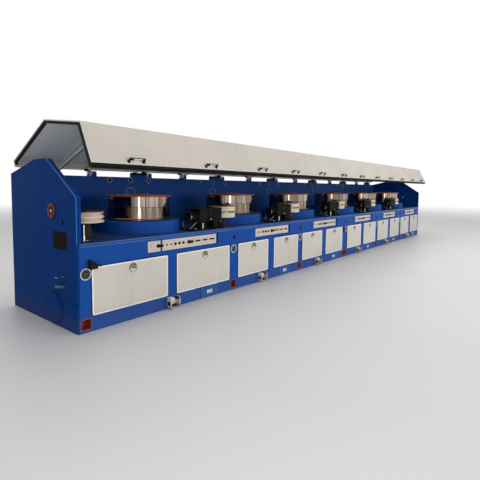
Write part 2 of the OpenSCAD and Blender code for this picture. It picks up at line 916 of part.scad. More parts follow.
module die_box(i) {
  x0 = box_right(i) - box_l;
  z = table_h + box_up;
  lid_z = z + box_h - lid_t;
  holder_z = z + box_h / 2 - holder_drop;
  holder_y = box_y + box_d / 2;
  union() {
    rounded_block(x0, box_y, z, box_l, box_d, box_h - lid_t, box_r);
    rounded_block(x0 + lid_seam, box_y + lid_seam, lid_z - eps, box_l - 2 * lid_seam,
      box_d - 2 * lid_seam, lid_seam + eps, box_r);
    rounded_block(x0 - lid_over, box_y - lid_over, lid_z + lid_seam, box_l + 2 * lid_over,
      box_d + 2 * lid_over, lid_t - lid_seam, box_r);
    translate([x0 + box_l * (1 - barrel_share) / 2, box_y + box_d + lid_over, lid_z])
      rotate([0, 90, 0]) cylinder(r = barrel_r, h = box_l * barrel_share);
    translate([box_right(i) - eps, holder_y, holder_z]) rotate([0, 90, 0])
      cylinder(r = outlet_r, h = outlet_l + eps);
    die_holder(x0, holder_y, holder_z);
  }
}

module die_boxes() {
  color(seal_black) placed() for (i = [1 : block_count - 1]) die_box(i);
}

// Stand: a foot plate with two pedestals, a bright rod under the box's front edge and a
// slanting brace under the holder
stand_plate_t = 14;
stand_margin = 30;
stand_reach = 133;
pedestal_l = 110;
pedestal_in = 30;
pedestal_narrow = 25;
rod_r = 8;
rod_in = 63;
rod_y = 10;
brace_t = 24;
brace_foot = 110;
brace_l = 40;
brace_sink = 6;
brace_top = 24;
brace_edge = 12;

module die_box_stand(i) {
  x0 = box_right(i) - box_l;
  union() {
    box_at(x0 - stand_reach, box_y - stand_margin, table_h, box_l + stand_reach,
      box_d + 2 * stand_margin, stand_plate_t);
    for (x = [x0 + pedestal_in, box_right(i) - pedestal_in - pedestal_l])
      box_at(x, box_y + pedestal_narrow, table_h, pedestal_l, box_d - 2 * pedestal_narrow, box_up);
    translate([x0 + rod_in, box_y + rod_y, table_h]) cylinder(r = rod_r, h = box_up);
    translate([x0 + pedestal_in, box_y + (box_d + brace_t) / 2, table_h]) rotate([90, 0, 0])
      linear_extrude(brace_t) polygon([[-brace_foot - brace_l, stand_plate_t - brace_sink],
        [-brace_foot, stand_plate_t - brace_sink], [brace_sink, box_up - brace_edge],
        [brace_sink, box_up], [-brace_top, box_up]]);
  }
}

module die_box_stands() {
  color("#333333") placed() for (i = [1 : block_count - 1]) die_box_stand(i);
}

// Bright rims of the round wall ports, and the eyelets near the top of the wall
ring_wall = 7;
ring_out = 8;
port_face = 2;
first_eyelet_back = 990;
second_eyelet_back = 673;
third_eyelet_back = 367;
eyelet_out = 5;
eyelet_hole = 13;

module wall_ring(x, z, r, hole, out, floor_t) {
  translate([x, wall_y, z]) rotate([90, 0, 0]) difference() {
    cylinder(r = r, h = out);
    translate([0, 0, floor_t]) cylinder(r = hole, h = out - floor_t + eps);
  }
}

module wall_fittings() {
  color(bare_steel) placed() for (i = [0 : block_count - 1]) {
    wall_ring(bay_right(i) - port_back, port_z, port_r + ring_wall, port_r, ring_out, port_face);
    for (s = [first_eyelet_back, second_eyelet_back, third_eyelet_back])
      wall_ring(bay_right(i) - s, eyelet_z, eyelet_r, eyelet_hole, eyelet_out, port_face);
  }
}

// Hinge brackets on the wall: two cheeks and the pin that the hood's ear turns on
cheek_gap = 1;
bracket_r = 24;
near_cheek = 14;
far_cheek = 62;
wide_cheek = 244;

module cheek(x, t) {
  translate([x, 0, 0]) rotate([90, 0, 90]) linear_extrude(t) union() {
    translate([hinge_y - bracket_r, wall_h]) square([2 * bracket_r, hinge_up]);
    translate([hinge_y, hinge_z]) circle(bracket_r);
  }
}

module hinge_bracket(x, left_cheek) {
  half = ear_t / 2 + cheek_gap;
  union() {
    cheek(x + half, far_cheek);
    cheek(x - half - left_cheek, left_cheek);
    translate([x - half - eps, hinge_y, hinge_z]) rotate([0, 90, 0])
      cylinder(r = hinge_pin_r, h = 2 * half + 2 * eps);
  }
}

module hinge_brackets() {
  color(machine_blue) placed() for (i = [0 : block_count - 1]) {
    hinge_bracket(hinge_xs(i)[0], near_cheek);
    hinge_bracket(hinge_xs(i)[1], wide_cheek);
  }
}

// Hood, drawn closed and turned open about its hinge
module opened() {
  translate([0, hinge_y, hinge_z]) rotate([-hood_open, 0, 0]) translate([0, -hinge_y, -hinge_z])
    children();
}

hood_rear_low = hinge_z + hood_rear_up;
// Corner points moved inwards by w, square to the panels on each side
slope_shift = tan(slope_a / 2);
front_shift = tan((90 - slope_a) / 2);

function hood_inner(w, rear_z) = [
  [-hood_out + w, hood_low_z],
  [-hood_out + w, hood_corner_z - w * front_shift],
  [slope_end_y + w * slope_shift, hood_top_z - w],
  [hood_rear_y - w, hood_top_z - w],
  [hood_rear_y - w, rear_z]];
function backwards(p) = [for (k = [len(p) - 1 : -1 : 0]) p[k]];

// A strip that follows the hood's section, between two depths below its outside
module hood_strip(x0, l, from, to, rear_z) {
  translate([x0, 0, 0]) rotate([90, 0, 90]) linear_extrude(l)
    polygon(concat(hood_inner(from, rear_z), backwards(hood_inner(to, rear_z))));
}

hinge_flange_w = 50;
leaf_l = 55;
leaf_t = 12;
leaf_clear = 6;
leaf_gusset = 70;

// Hinge leaf: the ear round the pin, and a plate up to the hood's rear flange
module hinge_leaf(x) {
  leaf_low = hinge_z + bracket_r + leaf_clear;
  difference() {
    union() {
      translate([x - ear_t / 2, hinge_y, hinge_z]) rotate([0, 90, 0]) cylinder(r = ear_r, h = ear_t);
      box_at(x - ear_t / 2, hinge_y - ear_r / 2, hinge_z, ear_t, ear_r, hood_rear_up + hood_t / 2);
      box_at(x - ear_t / 2 - leaf_l, hinge_y - leaf_t / 2, leaf_low, leaf_l + ear_t, leaf_t,
        hood_rear_low + hood_t / 2 - leaf_low);
      translate([x - leaf_t / 2, 0, 0]) rotate([90, 0, 90]) linear_extrude(leaf_t)
        polygon([[hood_rear_y - hood_t / 2, hood_rear_low], [hood_rear_y - hood_t / 2,
          hood_rear_low + leaf_gusset], [hinge_y - ear_r / 2, hood_rear_low]]);
    }
    translate([x - ear_t / 2 - eps, hinge_y, hinge_z]) rotate([0, 90, 0])
      cylinder(r = hinge_pin_r + hinge_clear, h = ear_t + 2 * eps);
  }
}

// Arm: a box-section stiffener from the rear flange to the slope panel
arm_in = 480;
arm_w = 30;
arm_h = 30;
arm_end_y = 231;
arm_end_d = 59;
arm_sink = 2;

function slope_mid(y) = hood_corner_z + (y + hood_out) * tan(slope_a) - hood_t / 2;

module hood_arm(x) {
  rear = hood_rear_y - hood_t / 2;
  translate([x - arm_w / 2, 0, 0]) rotate([90, 0, 90]) linear_extrude(arm_w)
    polygon([[arm_end_y, slope_mid(arm_end_y)],
      [rear - hinge_flange_w + arm_sink, hood_rear_low - arm_h + arm_sink],
      [rear, hood_rear_low - arm_h + arm_sink], [rear, hood_rear_low + hood_t],
      [arm_end_y + arm_end_d, slope_mid(arm_end_y + arm_end_d)]]);
}

module hood(i) {
  x0 = hood_left(i) + hood_joint / 2;
  l = hood_right(i) - hood_left(i) - hood_joint;
  color(cream) placed() opened() union() {
    hood_strip(x0, l, 0, hood_t, hood_rear_low);
    box_at(x0, hood_rear_y - hinge_flange_w, hood_rear_low, l, hinge_flange_w, hood_t);
    for (x = hinge_xs(i)) hinge_leaf(x);
    for (x = arm_xs(i)) hood_arm(x);
  }
}

// Black seal frame inside the hood's ends and front edge, and the two handles
seal_t = 24;
handle_up = 26;
handle_crank = 12;
handle_out = 38;
handle_bend = 18;
leg_start = 3;
collar_h = 6;
foot_r = 16;
foot_t = 8;

// Handle: a round bar bent at both ends, on two feet
module hood_handle(x) {
  y = -hood_out;
  z = hood_low_z + handle_up;
  half = handle_l / 2;
  lean = atan(handle_crank / handle_out);
  translate([x, y, z]) rotate([90 - lean, 0, 0]) union() {
    for (s = [0, 1]) mirror([s, 0, 0]) {
      translate([half, 0, leg_start]) cylinder(r = handle_r - 1, h = handle_out - handle_bend - leg_start);
      translate([half - handle_bend, 0, handle_out - handle_bend]) rotate([90, 0, 0])
        rotate_extrude(angle = 90) translate([handle_bend, 0]) circle(handle_r);
      translate([half, 0, handle_out - handle_bend - collar_h]) cylinder(r = handle_r, h = collar_h);
    }
    translate([-half + handle_bend, 0, handle_out]) rotate([0, 90, 0])
      cylinder(r = handle_r, h = handle_l - 2 * handle_bend);
  }
  for (s = [-1, 1]) translate([x + s * half, y, z]) rotate([90, 0, 0]) cylinder(r = foot_r, h = foot_t);
}

module hood_trim(i) {
  x0 = hood_left(i) + hood_joint / 2;
  l = hood_right(i) - hood_left(i) - hood_joint;
  color(seal_black) placed() opened() {
    union() {
      for (x = [x0, x0 + l - seal_t]) {
        hood_strip(x, seal_t, hood_t, seal_w, hood_rear_low + hood_t);
        box_at(x, -hood_out + hood_t, hood_low_z - seal_drop, seal_t, seal_front_w - hood_t,
          seal_drop + hood_front_h - 2 * hood_t * front_shift);
      }
      box_at(x0, -hood_out + hood_t, hood_low_z - seal_drop, l, seal_front_w - hood_t, seal_drop);
    }
    for (x = handle_xs(i)) hood_handle(x);
  }
}

bed_first_section();
bed_second_section();
table_first_section();
table_second_section();
back_wall_first_section();
back_wall_second_section();
end_panel_inlet();
end_panel_outlet();
doors_first_section();
doors_second_section();
door_pulls();
control_plates();
controls();
post_dials();
jacking_pockets();
foot_switches();
drum_housings();
die_boxes();
die_box_stands();
pulley_stands();
wall_fittings();
hinge_brackets();
door_catch();
end_covers();
end_fittings();
hood(0);  // hood_1
hood(1);  // hood_2
hood(2);  // hood_3
hood(3);  // hood_4
hood(4);  // hood_5
hood(5);  // hood_6
hood_trim(0);  // hood_trim_1
hood_trim(1);  // hood_trim_2
hood_trim(2);  // hood_trim_3
hood_trim(3);  // hood_trim_4
hood_trim(4);  // hood_trim_5
hood_trim(5);  // hood_trim_6
one_drum(0);  // drum_1
one_drum(1);  // drum_2
one_drum(2);  // drum_3
one_drum(3);  // drum_4
one_drum(4);  // drum_5
one_drum(5);  // drum_6
drum_flange(0);  // drum_flange_1
drum_flange(1);  // drum_flange_2
drum_flange(2);  // drum_flange_3
drum_flange(3);  // drum_flange_4
drum_flange(4);  // drum_flange_5
drum_flange(5);  // drum_flange_6
guide_pulley(0);  // guide_pulley_1
guide_pulley(1);  // guide_pulley_2
guide_pulley(2);  // guide_pulley_3
guide_pulley(3);  // guide_pulley_4
guide_pulley(4);  // guide_pulley_5
guide_pulley(5);  // guide_pulley_6
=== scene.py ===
"""Dresses a six-block wire drawing machine around its frame: finishes, small parts, light and camera."""
import math

import bmesh
import bpy
from bpy.props import FloatProperty, FloatVectorProperty, PointerProperty
from mathutils import Matrix, Vector


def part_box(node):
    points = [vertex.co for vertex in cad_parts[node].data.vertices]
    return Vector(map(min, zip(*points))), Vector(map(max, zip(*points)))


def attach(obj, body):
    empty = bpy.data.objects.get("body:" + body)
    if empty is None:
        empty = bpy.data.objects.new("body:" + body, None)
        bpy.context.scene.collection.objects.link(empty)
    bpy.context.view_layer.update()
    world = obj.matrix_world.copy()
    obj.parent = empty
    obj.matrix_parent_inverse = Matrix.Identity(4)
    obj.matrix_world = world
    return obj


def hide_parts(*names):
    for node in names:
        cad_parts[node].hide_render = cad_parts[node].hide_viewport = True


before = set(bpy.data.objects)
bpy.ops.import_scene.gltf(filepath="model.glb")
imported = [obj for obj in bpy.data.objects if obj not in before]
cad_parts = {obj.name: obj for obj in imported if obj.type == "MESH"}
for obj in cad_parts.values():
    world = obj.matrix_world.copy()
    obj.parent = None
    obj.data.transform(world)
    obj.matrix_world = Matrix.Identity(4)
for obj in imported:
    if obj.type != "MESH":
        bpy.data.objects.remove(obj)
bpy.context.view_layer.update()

bl_info = {
    "name": "Wire drawing machine",
    "version": (1, 0, 0),
    "blender": (4, 5, 0),
    "location": "3D View > Sidebar > Machine",
    "description": "Dresses a straight-line wire drawing machine with six lift-up hoods",
    "category": "Object",
}

UP = Vector((0, 0, 1))
FRONT = Vector((0, -1, 0))
REAR = Vector((0, 1, 0))
INLET = Vector((-1, 0, 0))
OUTLET = Vector((1, 0, 0))
BLOCKS = range(1, 7)
WHITE = (1, 1, 1, 1)
# How far a fitted part is let into what carries it, so that no gap shows
LET_IN = 0.001
# The smallest radius of an outline's corners
SHARP = 0.0001


# Reading the frame

class Box:
    """A box in the row frame, with points on it by their share along each side."""

    def __init__(self, lo, hi):
        self.lo, self.hi = Vector(lo), Vector(hi)

    def at(self, across, deep, high):
        size = self.hi - self.lo
        return self.lo + Vector((across * size.x, deep * size.y, high * size.z))


def box_of(node):
    return Box(*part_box(node))


def solids_of(*nodes):
    """Boxes of the separate solids of some CAD nodes, in order along the line."""
    boxes = []
    for node in nodes:
        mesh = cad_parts[node].data
        spots = {}
        spot_of = [spots.setdefault(tuple(round(c, 5) for c in v.co), len(spots)) for v in mesh.vertices]
        leader = list(range(len(spots)))

        def first(k):
            while leader[k] != k:
                leader[k] = leader[leader[k]]
                k = leader[k]
            return k

        for edge in mesh.edges:
            a, b = (first(spot_of[v]) for v in edge.vertices)
            leader[a] = b
        groups = {}
        for spot, k in spots.items():
            groups.setdefault(first(k), []).append(spot)
        for spots_in in groups.values():
            sides = list(zip(*spots_in))
            boxes.append(Box([min(s) for s in sides], [max(s) for s in sides]))
    return sorted(boxes, key=lambda box: box.at(0.5, 0.5, 0.5).x)


BED = Box(box_of("bed_first_section").lo, box_of("bed_second_section").hi)
LINE = Box(box_of("end_panel_inlet").lo, box_of("end_panel_outlet").hi)
TABLE = Box(box_of("table_first_section").lo, box_of("table_second_section").hi)


def on_bed(x, y, z):
    """A point given in metres from the front left foot of the machine."""
    return Vector((LINE.lo.x + x, BED.lo.y + y, z))


# A point on the axis that every hood turns about
HINGE = on_bed(0, 1.350, 1.490)


# Making meshes

def facing(direction, at, turn=0):
    """A placing matrix at a point: Z along the direction, X level, then turned about Z in degrees."""
    z = Vector(direction).normalized()
    x = UP.cross(z) if abs(z.z) < 0.9 else Vector((1, 0, 0))
    x.normalize()
    y = z.cross(x)
    place = Matrix((x, y, z)).transposed().to_4x4()
    place.translation = at
    return place @ Matrix.Rotation(math.radians(turn), 4, "Z")


def ring_of(radius, steps, start=0):
    """Points round a circle about the origin."""
    return [(radius * math.cos(start + math.tau * k / steps), radius * math.sin(start + math.tau * k / steps))
            for k in range(steps)]


def rounded(width, height, radius, steps=5):
    """The outline of a rectangle with round corners, about the origin."""
    radius = max(radius, SHARP)
    points = []
    for k, (sx, sy) in enumerate(((1, 1), (-1, 1), (-1, -1), (1, -1))):
        for n in range(steps):
            a = math.pi / 2 * (k + n / (steps - 1))
            points.append((sx * (width / 2 - radius) + radius * math.cos(a),
                           sy * (height / 2 - radius) + radius * math.sin(a)))
    return points


def at_height(outline, z):
    return [(x, y, z) for x, y in outline]


def spread(direction, centre, radius, count, start=0):
    """Points spread evenly round a circle that faces some direction."""
    place = facing(direction, centre)
    return [place @ Vector((x, y, 0)) for x, y in ring_of(radius, count, start)]


class Forge:
    """Gathers closed shapes into one piece, in metres in the row frame."""

    def __init__(self):
        self.mesh = bmesh.new()

    def _ring(self, place, points):
        return [self.mesh.verts.new(place @ Vector(p)) for p in points]

    def _join(self, low, high):
        for k in range(max(len(low), len(high))):
            corners = [low[k % len(low)], low[(k + 1) % len(low)],
                       high[(k + 1) % len(high)], high[k % len(high)]]
            self.mesh.faces.new(list(dict.fromkeys(corners)))

    def loft(self, place, sections):
        """A solid through outlines of equally many points, with both ends closed."""
        rings = [self._ring(place, points) for points in sections]
        for low, high in zip(rings, rings[1:]):
            self._join(low, high)
        self.mesh.faces.new(rings[0][::-1])
        self.mesh.faces.new(rings[-1])

    def plate(self, place, width, height, thick, radius=0.004, edge=0.001):
        """A plate with round corners and a chamfered front edge; its back is let in."""
        outline = rounded(width, height, radius)
        inner = rounded(width - 2 * edge, height - 2 * edge, radius - edge)
        self.loft(place, [at_height(outline, -LET_IN), at_height(outline, thick - edge),
                          at_height(inner, thick)])

    def turned(self, place, profile, steps=32, closed=False):
        """A solid turned from (radius, height) points; a ring where the profile is closed."""
        rings = [self._ring(place, at_height(ring_of(r, steps), z) if r > 0 else [(0, 0, z)])
                 for r, z in profile]
        if closed:
            rings.append(rings[0])
        for low, high in zip(rings, rings[1:]):
            self._join(low, high)

    def bar(self, points, radius, steps=10):
        """A round bar bent through some points, with flat ends."""
        points = [Vector(p) for p in points]
        rings = []
        side = None
        for k, point in enumerate(points):
            before = (point - points[k - 1]).normalized() if k else None
            after = (points[k + 1] - point).normalized() if k + 1 < len(points) else None
            along = ((before or after) + (after or before)).normalized()
            if side is None:
                side = along.orthogonal().normalized()
            side = (side - along * side.dot(along)).normalized()
            other = along.cross(side)
            rings.append([self.mesh.verts.new(point + side * a + other * b)
                          for a, b in ring_of(radius, steps)])
        for low, high in zip(rings, rings[1:]):
            self._join(low, high)
        self.mesh.faces.new(rings[0][::-1])
        self.mesh.faces.new(rings[-1])

    def band(self, place, rings):
        """A closed ring of material through outlines of equally many points."""
        made = [self._ring(place, ring) for ring in rings]
        for low, high in zip(made, made[1:] + made[:1]):
            self._join(low, high)

    def edging(self, place, width, height, radius, wide, thick):
        """A flat frame just inside a rounded rectangle."""
        outer, inner = (rounded(width - d, height - d, max(radius - d / 2, 0.0005)) for d in (0, 2 * wide))
        self.band(place, [at_height(outer, -LET_IN), at_height(outer, thick), at_height(inner, thick),
                          at_height(inner, -LET_IN)])

    def bolt(self, at, direction, size=0.012, turn=0):
        """A hexagon bolt head of some width across corners, on its washer."""
        place = facing(direction, at, turn)
        washer, head = size * 0.66, size / 2
        self.turned(place, [(0, -LET_IN), (washer, -LET_IN), (washer, size * 0.08), (0, size * 0.08)], 14)
        self.loft(place, [at_height(ring_of(head, 6), size * 0.07), at_height(ring_of(head, 6), size * 0.4),
                          at_height(ring_of(head * 0.82, 6), size * 0.48)])

    def cap_screw(self, at, direction, size=0.010):
        """A socket head screw of some head width."""
        place = facing(direction, at)
        r, h = size / 2, size * 0.55
        self.turned(place, [(0, -LET_IN), (r, -LET_IN), (r, h * 0.85), (r * 0.86, h), (r * 0.5, h),
                            (r * 0.5, h * 0.45), (0, h * 0.45)], 14)

    def piece(self, name, finish, slot, body="bed", smooth=32, replaces=()):
        """Makes the piece's object, with its finish and the body that it rides on. Its slot argument is not
        used.
        """
        bmesh.ops.recalc_face_normals(self.mesh, faces=self.mesh.faces[:])
        mesh = bpy.data.meshes.new(name)
        self.mesh.to_mesh(mesh)
        self.mesh.free()
        mesh.materials.append(finish)
        mesh.polygons.foreach_set("use_smooth", [True] * len(mesh.polygons))
        mesh.set_sharp_from_angle(angle=math.radians(smooth))
        made = bpy.data.objects.new(name, mesh)
        bpy.context.scene.collection.objects.link(made)
        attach(made, body)
        if replaces:
            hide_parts(*replaces)
        return made


# Making materials

# Ends each material's name, since the frame's own materials are named after its slots
FINISH = "_finish"


class Wire:
    """A number socket that takes part in Python's own sums; each operator adds its Math node."""

    def __init__(self, shade, socket):
        self.shade, self.socket = shade, socket

    def _math(self, operation, *values):
        return self.shade.math(operation, *values)

    def __add__(self, other):
        return self._math("ADD", self, other)

    __radd__ = __add__

    def __sub__(self, other):
        return self._math("SUBTRACT", self, other)

    def __rsub__(self, other):
        return self._math("SUBTRACT", other, self)

    def __mul__(self, other):
        return self._math("MULTIPLY", self, other)

    __rmul__ = __mul__

    def __pow__(self, other):
        return self._math("POWER", self, other)


class Shade:
    """The nodes of one material or world, made in the order in which they feed each other."""

    def __init__(self, name, world=None):
        self.material = world or bpy.data.materials.new(name + FINISH)
        self.material.use_nodes = True
        self.tree = self.material.node_tree
        self.tree.nodes.clear()
        self._spot = None

    def node(self, kind, settings=None, sockets=None):
        """Adds a node of some type: its settings first, then the values or links of its sockets."""
        made = self.tree.nodes.new(kind)
        for name, value in (settings or {}).items():
            setattr(made, name, value)
        for name, value in (sockets or {}).items():
            if isinstance(value, Wire):
                self.tree.links.new(value.socket, made.inputs[name])
            else:
                made.inputs[name].default_value = value
        return made

    def out(self, node, socket=0):
        """One output of a node, ready for sums"""
        return Wire(self, node.outputs[socket])

    def math(self, operation, *values):
        return self.out(self.node("ShaderNodeMath", {"operation": operation}, dict(enumerate(values))))

    def spot(self):
        """The place on the object, in metres in the row frame at rest."""
        if self._spot is None:
            self._spot = self.out(self.node("ShaderNodeTexCoord"), "Object")
        return self._spot

    def stretched(self, stretch):
        """The place, scaled along each axis."""
        return self.out(self.node("ShaderNodeVectorMath", {"operation": "MULTIPLY"},
                                  {0: self.spot(), 1: stretch}))

    def xyz(self):
        """The place along each axis"""
        parts = self.node("ShaderNodeSeparateXYZ", None, {0: self.spot()})
        return [self.out(parts, k) for k in range(3)]

    def facing_up(self):
        """1 where the surface faces up on the object, 0 where it is upright or faces down."""
        normal = self.out(self.node("ShaderNodeTexCoord"), "Normal")
        parts = self.node("ShaderNodeSeparateXYZ", None, {0: normal})
        return self.between(self.out(parts, 2), 0.35, 0.85)

    def noise(self, scale, detail=3.0, rough=0.55, stretch=None, warp=0.0):
        """Soft noise from 0 to 1, with so many features to the metre."""
        place = self.stretched(stretch) if stretch else self.spot()
        return self.out(self.node("ShaderNodeTexNoise", {"noise_dimensions": "3D"}, {
            "Vector": place, "Scale": scale, "Detail": detail, "Roughness": rough, "Distortion": warp}))

    def between(self, value, low, high):
        """0 below low, 1 above high and a soft step between them."""
        return self.out(self.node("ShaderNodeMapRange", {"interpolation_type": "SMOOTHSTEP", "clamp": True}, {
            "Value": value, "From Min": low, "From Max": high}))

    def mix(self, factor, a, b):
        """Colour a turned into colour b by a factor."""
        # A Mix node's colours are its inputs 6 and 7, and its colour is output 2
        made = self.node("ShaderNodeMix", {"data_type": "RGBA"}, {"Factor": factor, 6: rgba(a), 7: rgba(b)})
        return self.out(made, 2)

    def bump(self, height, strength, distance, normal=None):
        sockets = {"Height": height, "Strength": strength, "Distance": distance}
        if normal:
            sockets["Normal"] = normal
        return self.out(self.node("ShaderNodeBump", None, sockets))

    def surface(self, **sockets):
        """Ends the material in its shader; an underscore stands for a space in a socket's name."""
        named = {name.replace("_", " "): value for name, value in sockets.items()}
        if not isinstance(named["Base Color"], Wire):
            named["Base Color"] = rgba(named["Base Color"])
        shader = self.node("ShaderNodeBsdfPrincipled", None, named)
        self.node("ShaderNodeOutputMaterial", None, {"Surface": self.out(shader)})
        return self.material


def rgba(colour):
    return colour if isinstance(colour, Wire) or len(colour) == 4 else (*colour, 1.0)


def shaded(colour, share):
    """The same colour, darker or lighter."""
    return tuple(min(1.0, c * share) for c in colour[:3])


def made_once(maker):
    """A material is made by its first user and shared by the rest."""
    def shared():
        name = maker.__name__
        return bpy.data.materials.get(name + FINISH) or maker(name)
    return shared


def looks():
    return bpy.context.scene.machine_looks


def sheet_enamel(name, colour, *, rough=0.34, coat=0.01, wave=0.5, dust=(0.11, 0.11, 0.12), dust_up=0.25,
                 floor_dirt=0.22, scuffs=0.35, bare=(0.22, 0.26, 0.34), gloss=0.05):
    """Enamel on folded sheet steel: orange peel, slow waves, dust on top, dirt near the floor, scuffs."""
    shade = Shade(name)
    z = shade.xyz()[2]
    cloud = shade.noise(1.7, 5, 0.6)
    speck = shade.noise(55, 4, 0.7)
    base = shade.mix(cloud, shaded(colour, 0.84), shaded(colour, 1.14))
    runs = shade.between(shade.noise(9, 3, 0.6, stretch=(1, 1, 0.12)), 0.52, 0.78)
    base = shade.mix(runs * 0.16, base, shaded(colour, 0.55))
    dirt = shade.between(0.20 - z + speck * 0.12, 0.0, 0.26) * floor_dirt
    base = shade.mix(dirt, base, dust)
    settled = shade.facing_up() * (0.55 + speck * 0.9) * dust_up
    base = shade.mix(settled, base, dust)
    scratch = shade.between(shade.noise(34, 2, 0.4, stretch=(0.5, 0.5, 7)), 0.735, 0.76)
    scratch = scratch * shade.between(shade.noise(2.3, 2), 0.50, 0.62) * scuffs
    base = shade.mix(scratch, base, bare)
    peel = shade.bump(shade.noise(240, 2), 0.10, 0.0006)
    sag = shade.bump(shade.noise(1.6, 2, 0.4), wave, 0.012, peel)
    return shade.surface(Base_Color=base, Roughness=rough + cloud * 0.08 + settled * 0.4 + dirt * 0.3,
                         Specular_IOR_Level=gloss, Coat_Weight=coat, Coat_Roughness=0.12, Normal=sag)


@made_once
def blue_enamel(name):
    return sheet_enamel(name, looks().blue)


@made_once
def wall_enamel(name):
    return sheet_enamel(name, looks().wall_blue, rough=0.36, dust_up=0.4, gloss=0.08)


@made_once
def plinth_enamel(name):
    return sheet_enamel(name, looks().plinth_blue, rough=0.3, floor_dirt=0.25)


@made_once
def door_enamel(name):
    """Cream doors: hand marks, a little yellowing and dirt near the floor."""
    return sheet_enamel(name, looks().cream, rough=0.42, wave=0.35, dust=(0.36, 0.33, 0.28),
                        dust_up=0.2, floor_dirt=0.2, scuffs=0.3, bare=(0.40, 0.38, 0.35), gloss=0.25)


@made_once
def door_edge(name):
    """A painted highlight: the rolled edge of doors and hoods painted pale, rubbed grey in places."""
    return sheet_enamel(name, looks().edge, rough=0.3, wave=0.1, dust_up=0.1, floor_dirt=0.15,
                        scuffs=0.5, bare=(0.36, 0.36, 0.37))


@made_once
def end_enamel(name):
    """Machine blue on the end panels, painted darker as shade of the side that faces away from the light;
    they carry more soap dust and hand marks.
    """
    return sheet_enamel(name, looks().end_blue, rough=0.38, coat=0.0, gloss=0.01, scuffs=0.5, dust_up=0.06)


@made_once
def hood_enamel(name):
    return sheet_enamel(name, looks().hood, rough=0.3, coat=0.1, wave=0.6, dust=(0.46, 0.43, 0.38),
                        dust_up=0.2, floor_dirt=0.0, scuffs=0.25, bare=(0.5, 0.48, 0.45))


@made_once
def table_enamel(name):
    """Blue enamel on the table: a film of soap dust and oil on top, with painted highlights along the lip's
    two edges.
    """
    shade = Shade(name)
    y, z = shade.xyz()[1:]
    colour = looks().blue
    cloud = shade.noise(2.1, 5, 0.6)
    speck = shade.noise(70, 4, 0.7)
    base = shade.mix(cloud, shaded(colour, 0.72), shaded(colour, 1.0))
    film = shade.facing_up() * shade.between(y, TABLE.lo.y + 0.004, TABLE.lo.y + 0.04)
    oil = shade.between(shade.noise(3.5, 4, 0.6, warp=0.8), 0.52, 0.64)
    film_colour = shade.mix(oil, looks().soap_dust, shaded(looks().soap_dust, 0.5))
    base = shade.mix(film * (0.6 + speck * 0.4), base, film_colour)
    # Painted highlights: the lip's rounded upper and lower front edges are painted lighter blue
    upper = shade.between(z, TABLE.hi.z - 0.013, TABLE.hi.z - 0.006)
    lower = shade.between(TABLE.lo.z + 0.014 - z, 0.0, 0.006)
    front = shade.between(TABLE.lo.y + 0.012 - y, 0.0, 0.006)
    along = shade.noise(6, 3, 0.5, stretch=(0.3, 1, 1))
    base = shade.mix((upper + lower) * front * (0.25 + along * 0.8), base, looks().rubbed_blue)
    peel = shade.bump(shade.noise(240, 2), 0.10, 0.0006)
    grit = shade.bump(speck * film, 0.25, 0.0008, peel)
    return shade.surface(Base_Color=base, Roughness=0.3 + film * (0.34 - oil * 0.3), Specular_IOR_Level=0.12,
                         Coat_Weight=film * 0.12 + 0.02, Coat_Roughness=0.15, Normal=grit)


@made_once
def lining_grey(name):
    """Grey primer inside the hoods, with faint brush-outs and dust; its colour is set lighter than the
    primer's to paint in light under the hoods.
    """
    shade = Shade(name)
    colour = looks().lining
    cloud = shade.noise(2.2, 5, 0.62)
    streak = shade.noise(14, 3, 0.6, stretch=(1, 0.2, 0.2))
    base = shade.mix(cloud, shaded(colour, 0.85), shaded(colour, 1.12))
    base = shade.mix(shade.between(streak, 0.5, 0.8) * 0.2, base, shaded(colour, 1.5))
    peel = shade.bump(shade.noise(180, 2), 0.12, 0.0008)
    return shade.surface(Base_Color=base, Roughness=0.5 + cloud * 0.12, Normal=peel)


@made_once
def seal_rubber(name):
    """Black rubber and black handles: matt, dusty in the hollows."""
    shade = Shade(name)
    dusty = shade.noise(28, 4, 0.65)
    base = shade.mix(shade.between(dusty, 0.45, 0.8), (0.010, 0.010, 0.010), (0.034, 0.033, 0.032))
    return shade.surface(Base_Color=base, Roughness=0.5 + dusty * 0.2, Specular_IOR_Level=0.07,
                         Normal=shade.bump(shade.noise(420, 2), 0.2, 0.0006))


@made_once
def drum_steel(name):
    """Turned and polished steel with painted reflections: upright streaks in dark and light copies of its
    colour, painted highlight streaks stronger on the upper face, and brown soap at its foot.
    """
    shade = Shade(name)
    z = shade.xyz()[2]
    colour = looks().drum
    streak = shade.noise(34, 4, 0.75, stretch=(1, 1, 0.01))
    fine = shade.noise(120, 2, 0.6, stretch=(1, 1, 0.01))
    wide = shade.noise(4, 2, 0.5, stretch=(1, 1, 0.02))
    lines = shade.noise(900, 2, 0.5, stretch=(0.012, 0.012, 1))
    drum = box_of("drum_1")
    upper = shade.between(z, drum.at(0, 0, 0.55).z, drum.at(0, 0, 0.56).z)
    # Painted reflections: dark and light copies of the steel colour in upright streaks
    base = shade.mix(shade.between(streak, 0.36, 0.64), shaded(colour, 0.30), shaded(colour, 1.55))
    # Painted highlight streaks, stronger on the upper face
    base = shade.mix(shade.between(fine, 0.47, 0.60) * (0.25 + upper * 0.25), base, looks().drum_pale)
    # Painted reflection: wide upright dark bands
    base = shade.mix(shade.between(wide, 0.45, 0.58) * 0.6, base, shaded(colour, 0.38))
    soap = shade.between(drum.at(0, 0, 0.32).z - z + streak * 0.05, -0.02, 0.09)
    base = shade.mix(soap * 0.5, base, looks().drum_soap)
    rough = 0.07 + shade.between(streak, 0.3, 0.7) * 0.05 + soap * 0.12
    return shade.surface(Base_Color=base, Metallic=1.0, Roughness=rough,
                         Normal=shade.bump(lines, 0.06, 0.0003))


